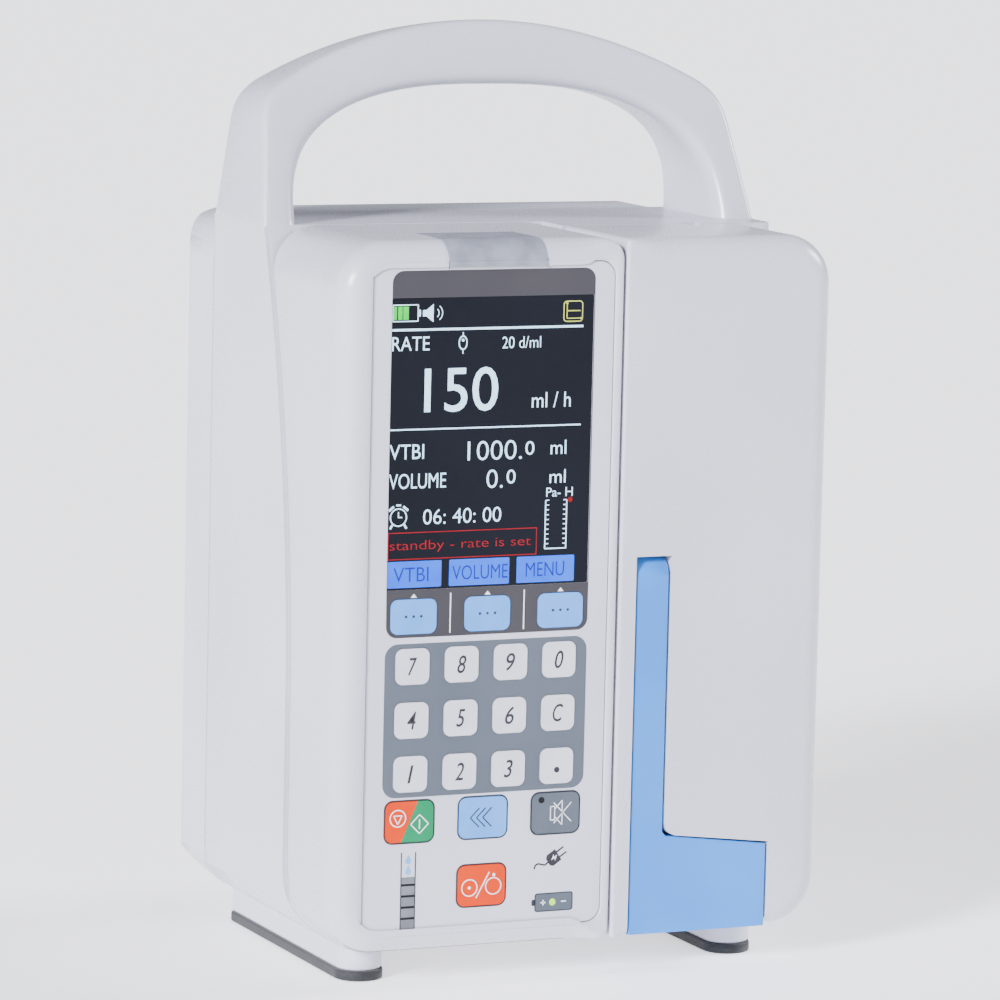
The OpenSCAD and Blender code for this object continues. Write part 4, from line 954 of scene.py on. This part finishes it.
class PUMP_OT_display(bpy.types.Operator):
    """Display: the dark window and the lit readings printed on its front surface"""

    bl_idname = "pump.display"
    bl_label = "Display"

    def execute(self, context):
        x0, x1, z0, z1 = DISPLAY_LO[0], DISPLAY_HI[0], DISPLAY_LO[2], DISPLAY_HI[2]
        face = DISPLAY_LO[1]
        glass = flat_mesh([loop(x0 + 0.02, x1 - 0.02, z0 + 0.02, z1 - 0.02, [0.4] * 4, corner=3)], face, 0.85)
        items = self.status_row() + self.level_gauge() + self.clock()
        items += [("pixels_ice", [bar(x0 + 0.1, 158.4, -2.7, 158.4, 0.55)]),
                  ("pixels_ice", [bar(x0 + 0.1, 134.9, -2.75, 134.9, 0.35)]),
                  ("pixels_red", frame_loops(x0 + 0.1, -13.5, 104.1, 110.6, 0.1, 0.22))]
        drop = [(-33.7 + 1.15 * cos(t), 155.1 + 1.75 * sin(t)) for t in (2 * pi * i / 24 for i in range(24))]
        hole = [(-33.7 + 0.85 * cos(t), 155.1 + 1.4 * sin(t)) for t in (2 * pi * i / 24 for i in range(24))]
        items += [("pixels_ice", [drop, hole]), ("pixels_ice", [circle(-33.7, 155.7, 0.35, 12)]),
                  *bars("pixels_ice", 0.25, (-33.7, 156.8, -33.7, 157.6), (-33.7, 152.5, -33.7, 153.4))]
        for a, b in ((-51.9, -38.0), (-36.05, -20.5), (-18.6, -3.6)):
            items.append(("pixels_button", [loop(a, b, 97.4, 103.7, [0.3] * 4, corner=3)]))
        screen = ink(items, face - 0.02, 0.02)
        # Words and numbers: text, left, right, bottom, top, weight
        for words, a, b, c, d, weight in (
            ("RATE", -51.8, -42.25, 153.5, 156.8, 0.0),
            ("20 d/ml", -23.6, -13.6, 153.5, 156.3, -0.004),
            ("150", -43.3, -24.4, 138.8, 149.3, 0.004),
            ("ml / h", -15.6, -5.5, 139.2, 142.9, 0.0),
            ("VTBI", -51.9, -43.1, 127.9, 131.4, 0.0),
            ("1000.", -31.9, -17.9, 127.1, 131.7, -0.008),
            ("0", -17.0, -14.7, 128.0, 131.3, 0.0),
            ("ml", -10.45, -6.35, 128.0, 131.3, 0.0),
            ("VOLUME", -51.9, -37.3, 120.9, 124.5, 0.0),
            ("0.", -26.9, -22.7, 120.4, 124.8, -0.008),
            ("0", -21.7, -19.4, 121.3, 124.65, 0.0),
            ("ml", -10.55, -6.35, 121.1, 124.3, 0.0),
            ("Pa- H", -11.3, -4.4, 117.8, 120.0, 0.0),
            ("06: 40: 00", -43.0, -22.9, 112.3, 115.9, -0.004),
            ("standby - rate is set", -51.4, -15.0, 105.7, 108.6, -0.01),
        ):
            look = "pixels_red" if words.startswith("standby") else "pixels_ice"
            screen.append((lettering(words, a, b, c, d, face - 0.02, weight, thick=0.02), look))
        for words, a, b in (("VTBI", -50.3, -41.3), ("VOLUME", -35.2, -20.9), ("MENU", -16.2, -6.2)):
            name = lettering(words, a, b, 98.8, 102.2, face - 0.04, -0.006, thick=0.02)
            screen.append((name, "pixels_navy"))
        piece = assemble("display_window", [(glass, "window_hard_coat"), *screen])
        finish_piece(piece, ROOT, ["lcd_window"])
        return {"FINISHED"}

    def status_row(self):
        """Battery, sounder and set marks along the top."""
        items = [("pixels_ice", frame_loops(-51.85, -45.2, 160.3, 164.4, 0.2, 0.25)),
                 ("pixels_ice", [bar(-44.9, 161.5, -44.9, 163.1, 0.5)])]
        for a, b in ((-51.5, -50.7), (-50.4, -49.3), (-49.1, -47.7)):
            items.append(("pixels_green", [[(a, 160.8), (b, 160.8), (b, 163.9), (a, 163.9)]]))
        items.append(("pixels_ice", [[(-44.1, 161.5), (-43.2, 161.5), (-41.4, 160.1),
                                      (-41.4, 164.4), (-43.2, 163.0), (-44.1, 163.0)]]))
        for r in (1.2, 2.1):
            arc = [(-41.2 + r * cos(t), 162.25 + r * sin(t))
                   for t in (radians(-50 + 100 * i / 8) for i in range(9))]
            items += strokes("pixels_ice", arc, 0.22)
        items.append(("pixels_olive", frame_loops(-7.95, -2.85, 159.45, 164.5, 0.9, 0.25)))
        items += strokes("pixels_olive", [(-7.0, 163.8), (-7.0, 160.3), (-3.5, 160.3)], 0.22)
        items += strokes("pixels_olive", [(-7.0, 162.1), (-3.5, 162.1)], 0.22)
        items += [("pixels_olive", [circle(*p, 0.28, 10)]) for p in ((-7.0, 163.9), (-3.4, 160.3))]
        return items

    def level_gauge(self):
        """The pressure gauge: two scales and a red mark."""
        items = bars("pixels_ice", 0.28, (-11.4, 105.3, -11.4, 117.0), (-5.9, 105.3, -5.9, 117.0),
                     (-11.5, 105.4, -5.8, 105.4))
        items.append(("pixels_red", [circle(-5.05, 117.0, 0.62, 16)]))
        for k in range(1, 11):
            z = 105.4 + 1.16 * k
            items += bars("pixels_ice", 0.24, (-11.3, z, -10.5, z), (-6.8, z, -6.0, z))
        return items

    def clock(self):
        """An alarm clock."""
        x, z = -49.3, 114.2
        items = [("pixels_ice", ring_loops(x, z, 2.05, 0.3))]
        items += bars("pixels_ice", 0.26, (x, z - 0.1, x, z + 1.3), (x, z, x + 0.95, z))
        items += bars("pixels_ice", 0.45, (x - 0.6, z + 2.9, x + 0.6, z + 2.9))
        for s in (-1, 1):
            items += bars("pixels_ice", 0.5, (x + s * 1.5, z - 1.7, x + s * 2.1, z - 2.7))
            items += bars("pixels_ice", 0.55, (x + s * 1.2, z + 2.6, x + s * 2.45, z + 1.6))
        return items


class PUMP_OT_keys(bpy.types.Operator):
    """Keys: nineteen embossed caps with their legends, each on its own body"""

    bl_idname = "pump.keys"
    bl_label = "Keys"

    def execute(self, context):
        edge = context.scene.pump_print.key_edge / MM
        stroke = context.scene.pump_print.stroke / MM
        for node in KEY_NODES:
            lo, hi = box_mm(node)
            x, z = key_box(node)[:2]
            short = node[4:]
            face = lo[1]
            base, legend, slot = self.look(short)
            cap = rounded(flat_mesh([key_loop(node, 0)], face, CAP_THICK), edge, 50, 2)
            plunger = flat_mesh([key_loop(node, 0.68)], face + 1.3, hi[1] - face - 1.3)
            parts = [(plunger, base)]
            if short == "start_stop":
                parts += self.split_cap(node, face)
            else:
                parts.append((cap, base))
            parts += self.legend(short, x, z, face - 0.03, legend, stroke)
            piece = assemble(node + "_cap", parts)
            finish_piece(piece, node, [node])
        return {"FINISHED"}

    def look(self, short):
        """Cap finish, legend finish and a slot name of a key."""
        if short.startswith("soft") or short == "bolus":
            return "film_key_blue", "ink_legend", "key_blue"
        if short == "mute":
            return "film_key_grey", "ink_white", "key_grey"
        if short in ("start_stop", "power"):
            return "film_key_orange", "ink_white", "key_orange"
        return "film_key_white", "ink_legend", "key_white"

    def split_cap(self, node, face):
        """The two-colour cap, parted on a slant."""
        x, z, _, h = key_box(node)
        points = key_loop(node, 0)
        top, low = x + 2.1, x - 2.1

        def line(zz):
            return low + (top - low) * (zz - z + h) / (2 * h)

        left = [p for p in points if p[0] < line(p[1])]
        right = [p for p in points if p[0] >= line(p[1])]
        cut_top, cut_low = (line(z + h), z + h), (line(z - h), z - h)
        start = next(i for i, p in enumerate(points) if p in left and points[i - 1] not in left)
        ordered = [points[(start + i) % len(points)] for i in range(len(points))]
        left_run = [p for p in ordered if p in left]
        right_run = [p for p in ordered if p in right]
        return [(flat_mesh([[cut_top, *left_run, cut_low]], face, CAP_THICK), "film_key_orange"),
                (flat_mesh([[cut_low, *right_run, cut_top]], face, CAP_THICK), "film_key_green")]

    def legend(self, short, x, z, y, look, stroke):
        """The printed legend of a key."""

        def path(width, *points):
            return strokes(look, [(x + a, z + b) for a, b in points], width)

        if short.isdigit() or short == "clear":
            words = "C" if short == "clear" else short
            half = 1.35 if short == "clear" else (0.75 if short == "1" else 1.15)
            return [(lettering(words, x - half, x + half, z - 2.15, z + 2.15, y, 0.006, 0.22), look)]
        if short == "point":
            return ink([(look, [circle(x + 0.05, z - 0.95, 0.72)])], y)
        if short.startswith("soft"):
            return ink([(look, [circle(x + dx, z + 0.05, 0.33, 14)]) for dx in (-1.95, 0, 1.95)], y)
        if short == "bolus":
            items = []
            for k in range(3):
                tip = x - 3.25 + 1.6 * k
                items += strokes(look, [(tip + 2.3, z + 2.3), (tip, z), (tip + 2.3, z - 2.3)], stroke)
            return ink(items, y)
        if short == "start_stop":
            items = [(look, ring_loops(x - 3.0, z + 0.95, 2.0, 0.26))]
            items += path(0.26, (-4.1, 1.6), (-1.9, 1.6), (-3.0, -0.45), (-4.1, 1.6))
            items += path(0.26, (0.35, -0.65), (2.6, 1.65), (4.9, -0.65), (2.6, -2.95), (0.35, -0.65))
            items += path(0.26, (2.6, 0.5), (2.6, -1.8))
            return ink(items, y)
        if short == "power":
            items = [(look, ring_loops(x - 3.1, z - 0.5, 2.0, 0.26)),
                     (look, [circle(x - 3.1, z - 0.5, 0.4, 14)]),
                     (look, ring_loops(x + 3.1, z - 0.35, 2.0, 0.26)),
                     (look, [circle(x + 3.2, z + 2.35, 0.4, 14)])]
            items += path(0.28, (-1.35, -3.05), (2.0, 3.1))
            return ink(items, y)
        # Crossed-out sounder, with the mute lamp at the upper left
        items = [("ink_dark", [circle(x - 3.75, z + 3.3, 0.78, 20)])]
        items += path(0.22, (-1.3, -1.7), (-1.3, 1.6), (-0.2, 1.6), (-0.2, -1.7), (-1.3, -1.7))
        items += path(0.22, (-0.2, -0.9), (1.75, -3.0), (1.75, 3.0), (-0.2, 0.9))
        items += path(0.22, (-0.5, 2.5), (4.2, -2.3))
        items += path(0.22, (4.1, 2.4), (-0.4, -2.5))
        return ink(items, y)


# ---------- springs, clamp screw and the rest ----------


class PUMP_OT_springs(bpy.types.Operator):
    """Platen springs: four coils wound from round wire"""

    bl_idname = "pump.springs"
    bl_label = "Platen Springs"

    def execute(self, context):
        sizes = context.scene.pump_mechanism
        lo, hi = box_mm("platen_springs")
        wire = sizes.spring_wire
        step = (hi[2] - lo[2] - 6) / 3
        tree = coil_tree("Wound wire row", "steel_nickel_plated")
        first = at((lo[0] + hi[0]) / 2, lo[1] + wire / MM / 2, lo[2] + 3)
        mesh = grown(tree, Turns=sizes.spring_turns, Wire_Radius=wire / 2, Coil_Radius=0.0026,
                     Length=(hi[1] - lo[1]) * MM - wire, Count=4, First=first, Step=(0, 0, step * MM),
                     Sides=8)
        piece = assemble("platen_coil_springs", [(mesh, "steel_nickel_plated")])
        finish_piece(piece, "door", ["platen_springs"])
        return {"FINISHED"}


class PUMP_OT_clamp_screw(bpy.types.Operator):
    """Clamp screw: a threaded stud with a six-lobed knob"""

    bl_idname = "pump.clamp_screw"
    bl_label = "Clamp Screw"

    def execute(self, context):
        pitch = context.scene.pump_mechanism.thread_pitch
        lo, hi = box_mm("clamp_screw")
        z = (lo[2] + hi[2]) / 2
        radius = (hi[2] - lo[2]) / 2
        knob_y, end_y = hi[1] - 13, hi[1]

        def ring(y, inset):
            points = []
            for i in range(96):
                t = 2 * pi * i / 96
                wave = 0.5 + 0.5 * cos(6 * t + pi)
                r = radius - 3.4 * wave ** 1.6 - inset
                points.append((r * cos(t), y, z + r * sin(t)))
            return points

        # Knob from the stud side to the hollow in its end: distance along it and inset
        knob = [ring(knob_y + a, inset) for a, inset in ((0, 1.6), (0.3, 0.6), (1.2, 0))]
        knob += [ring(end_y - a, inset) for a, inset in (
            (2.4, 0.5), (1.0, 1.0), (0.3, 2.0), (0, 3.6), (0.6, 7.0), (0.9, 11.0))]

        def stud(y0, y1, r):
            return ring_mesh([[(r * cos(2 * pi * i / 40), y, z + r * sin(2 * pi * i / 40)) for i in range(40)]
                              for y in (y0, y1)])

        tree = coil_tree("Rolled thread", "steel_nickel_plated")
        start = lo[1] + 3.6
        length = (knob_y - start) * MM
        thread = grown(tree, Turns=length / pitch, Wire_Radius=0.00055, Coil_Radius=0.00435, Length=length,
                       Count=1, First=at(0, start, z), Step=(0, 0, 0), Sides=4)
        piece = assemble("clamp_screw_and_knob", [
            (ring_mesh(knob), "nylon_black"), (stud(lo[1], lo[1] + 3.2, 2.95), "steel_nickel_plated"),
            (stud(lo[1] + 2.9, knob_y + 1, 4.45), "steel_nickel_plated"), (thread, "steel_nickel_plated")])
        finish_piece(piece, "clamp_screw", ["clamp_screw"])
        return {"FINISHED"}


class PUMP_OT_board_parts(bpy.types.Operator):
    """Board parts: rows of small chip parts and pins on the main circuit board"""

    bl_idname = "pump.board_parts"
    bl_label = "Board Parts"

    def execute(self, context):
        tree = row_tree("Chip part grid", "nylon_black")
        metal = row_tree("Pin grid", "steel_nickel_plated")
        lo = box_mm("main_board")[0]
        face = lo[1]
        chips = grown(tree, Block=(0.0016, 0.0006, 0.0008), Columns=9, Rows=12,
                      First=at(lo[0] + 8, face - 0.3, lo[2] + 12),
                      Column_Step=(0.005, 0, 0), Row_Step=(0, 0, 0.0105))
        pin_pitch = 0.00254
        pins = grown(metal, Block=(0.0006, 0.0016, 0.0006), Columns=18, Rows=2,
                     First=at(lo[0] + 6, face - 0.8, lo[2] + 4),
                     Column_Step=(pin_pitch, 0, 0), Row_Step=(0, 0, pin_pitch))
        piece = assemble("main_board_parts", [(chips, "nylon_black"), (pins, "steel_nickel_plated")])
        finish_piece(piece, ROOT, ())
        return {"FINISHED"}


# Finish of every CAD node that is kept, with its edge rounding in mm
KEPT = {
    "main_housing": ("abs_satin_white", 0.5), "rear_case": ("abs_satin_white", 0.8),
    "foot_skids": ("abs_satin_white", 0.8), "foot_pads": ("rubber_nitrile", 0.4),
    "lcd_module": ("display_frame_black", 0.2), "keypad_board": ("fibreglass_green", 0.0),
    "main_board": ("fibreglass_green", 0.0), "power_board": ("fibreglass_green", 0.0),
    "battery_pack": ("sleeve_pvc_blue", 0.3), "battery_cover": ("abs_satin_white", 0.3),
    "speaker": ("nylon_black", 0.3), "mains_inlet": ("nylon_black", 0.3),
    "data_socket": ("steel_nickel_plated", 0.2), "pump_chassis": ("aluminium_bead_blasted", 0.3),
    "stepper_motor": ("steel_painted_black", 0.4), "motor_pinion": ("brass_hobbed", 0.0),
    "camshaft": ("steel_nickel_plated", 0.2), "cam_gear": ("brass_hobbed", 0.0),
    "shaft_bearings": ("steel_nickel_plated", 0.2), "pump_fingers": ("acetal_white", 0.15),
    "finger_membrane": ("silicone_translucent", 0.1), "pressure_sensors": ("steel_painted_black", 0.2),
    "bubble_sensor": ("nylon_black", 0.3), "flow_clamp": ("acetal_orange", 0.3),
    "hinge_brackets": ("steel_nickel_plated", 0.2), "door_inner": ("abs_grey", 0.3),
    "platen": ("aluminium_bead_blasted", 0.3), "door_pins": ("steel_nickel_plated", 0.2),
    "door_lever": ("abs_lever_blue", 0.7), "latch_slide": ("steel_nickel_plated", 0.2),
    "case_screws": ("steel_nickel_plated", 0.1), "clamp_frame": ("aluminium_bead_blasted", 0.8),
    "clamp_pad": ("rubber_nitrile", 0.4),
}


class PUMP_OT_kept_nodes(bpy.types.Operator):
    """Kept CAD nodes: their finish, and a rounding on each sharp edge"""

    bl_idname = "pump.kept_nodes"
    bl_label = "Kept CAD Nodes"

    def execute(self, context):
        for name, (look, edge) in KEPT.items():
            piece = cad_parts[name]
            piece.data.materials.clear()
            piece.data.materials.append(finish(look))
            weld = piece.modifiers.new("Joined corners", "WELD")
            weld.merge_threshold = 1e-6
            if edge:
                flat = piece.modifiers.new("Flat faces", "DECIMATE")
                flat.decimate_type = "DISSOLVE"
                flat.angle_limit = radians(0.3)
                round_edges(piece, edge, angle=35, segments=2)
        return {"FINISHED"}


# ---------- stage ----------


class PUMP_OT_stage(bpy.types.Operator):
    """Stage: a plain floor, soft lights and the camera"""

    bl_idname = "pump.stage"
    bl_label = "Stage"

    def execute(self, context):
        settings = context.scene.pump_stage
        scene = context.scene
        floor_mesh = bpy.data.meshes.new("floor")
        floor_mesh.from_pydata([(-6, -6, 0), (6, -6, 0), (6, 6, 0), (-6, 6, 0)], [], [(0, 1, 2, 3)])
        floor = new_object("floor", floor_mesh)
        paper = bpy.data.materials.new("seamless_paper")
        paper.use_nodes = True
        tree = paper.node_tree
        tree.nodes.clear()
        place = add_node(tree, "ShaderNodeTexCoord").outputs["Object"]
        fibre = add_node(tree, "ShaderNodeTexNoise", {"Vector": place, "Scale": 900, "Detail": 2})
        bump = add_node(tree, "ShaderNodeBump", {"Height": fibre.outputs["Fac"], "Distance": 0.00005})
        sheet = add_node(tree, "ShaderNodeBsdfPrincipled", {
            "Base Color": [*settings.floor_colour, 1], "Roughness": 0.9, "Normal": bump.outputs["Normal"],
            "Emission Color": [1, 1, 1, 1], "Emission Strength": settings.floor_glow})
        add_node(tree, "ShaderNodeOutputMaterial", {"Surface": sheet.outputs["BSDF"]})
        floor_mesh.materials.append(paper)
        self.light("left_light", (-0.80, -0.46, 0.34), 14, settings.left_light)
        self.light("right_light", (0.90, -0.10, 0.42), 18, settings.right_light)
        world = bpy.data.worlds.new("studio")
        world.use_nodes = True
        back = world.node_tree.nodes["Background"]
        back.inputs["Color"].default_value = linear("#F4F6FF")
        back.inputs["Strength"].default_value = settings.room_light
        scene.world = world
        self.camera(scene, settings.lens)
        return {"FINISHED"}

    def light(self, name, source, spread, strength):
        """Broad even light from a direction, softened over spread degrees."""
        data = bpy.data.lights.new(name, "SUN")
        data.angle = radians(spread)
        data.energy = strength
        data.color = linear("#F4F6FF")[:3]
        lamp = new_object(name, data)
        lamp.location = source
        lamp.rotation_euler = Vector(source).to_track_quat("Z", "Y").to_euler()

    def camera(self, scene, lens):
        """The camera: its place, turn, tilt and roll."""
        data = bpy.data.cameras.new("camera")
        data.lens = lens
        data.sensor_width = 36
        data.clip_end = 20
        eye = new_object("camera", data)
        yaw, tilt, roll = radians(24.13), radians(7.72), radians(1.31)
        ahead = Vector((sin(yaw) * cos(tilt), cos(yaw) * cos(tilt), -sin(tilt)))
        right = Vector((cos(yaw), -sin(yaw), 0))
        up = right.cross(ahead)
        side = cos(roll) * right + sin(roll) * up
        top = -sin(roll) * right + cos(roll) * up
        turn = Matrix((side, top, -ahead)).transposed().to_4x4()
        eye.matrix_world = Matrix.Translation((-0.5469, -1.2562, 0.2911)) @ turn
        scene.camera = eye


class PUMP_PT_pieces(bpy.types.Panel):
    """The pump's pieces and sizes"""

    bl_idname = "PUMP_PT_pieces"
    bl_label = "Infusion Pump"
    bl_space_type = "VIEW_3D"
    bl_region_type = "UI"
    bl_category = "Pump"

    def draw(self, context):
        for group in GROUPS:
            box = self.layout.box()
            for name in GROUPS[group].__annotations__:
                box.prop(getattr(context.scene, group), name)
        for step in STEPS:
            self.layout.operator(step.bl_idname)


GROUPS = {"pump_shell": PumpShellSizes, "pump_print": PumpPrintSizes, "pump_mechanism": PumpMechanismSizes,
          "pump_stage": PumpStageSettings}
STEPS = (PUMP_OT_front_case, PUMP_OT_band_and_handle, PUMP_OT_door, PUMP_OT_alarm_lamp, PUMP_OT_front_film,
         PUMP_OT_display, PUMP_OT_keys, PUMP_OT_springs, PUMP_OT_clamp_screw, PUMP_OT_board_parts,
         PUMP_OT_kept_nodes, PUMP_OT_stage)


def register():
    for made in (*GROUPS.values(), *STEPS, PUMP_PT_pieces):
        bpy.utils.register_class(made)
    for name, group in GROUPS.items():
        setattr(bpy.types.Scene, name, PointerProperty(type=group))


def unregister():
    for name in GROUPS:
        delattr(bpy.types.Scene, name)
    for made in reversed((*GROUPS.values(), *STEPS, PUMP_PT_pieces)):
        bpy.utils.unregister_class(made)


def main():
    register()
    for step in STEPS:
        group, name = step.bl_idname.split(".")
        getattr(getattr(bpy.ops, group), name)()


if __name__ == "__main__":
    main()
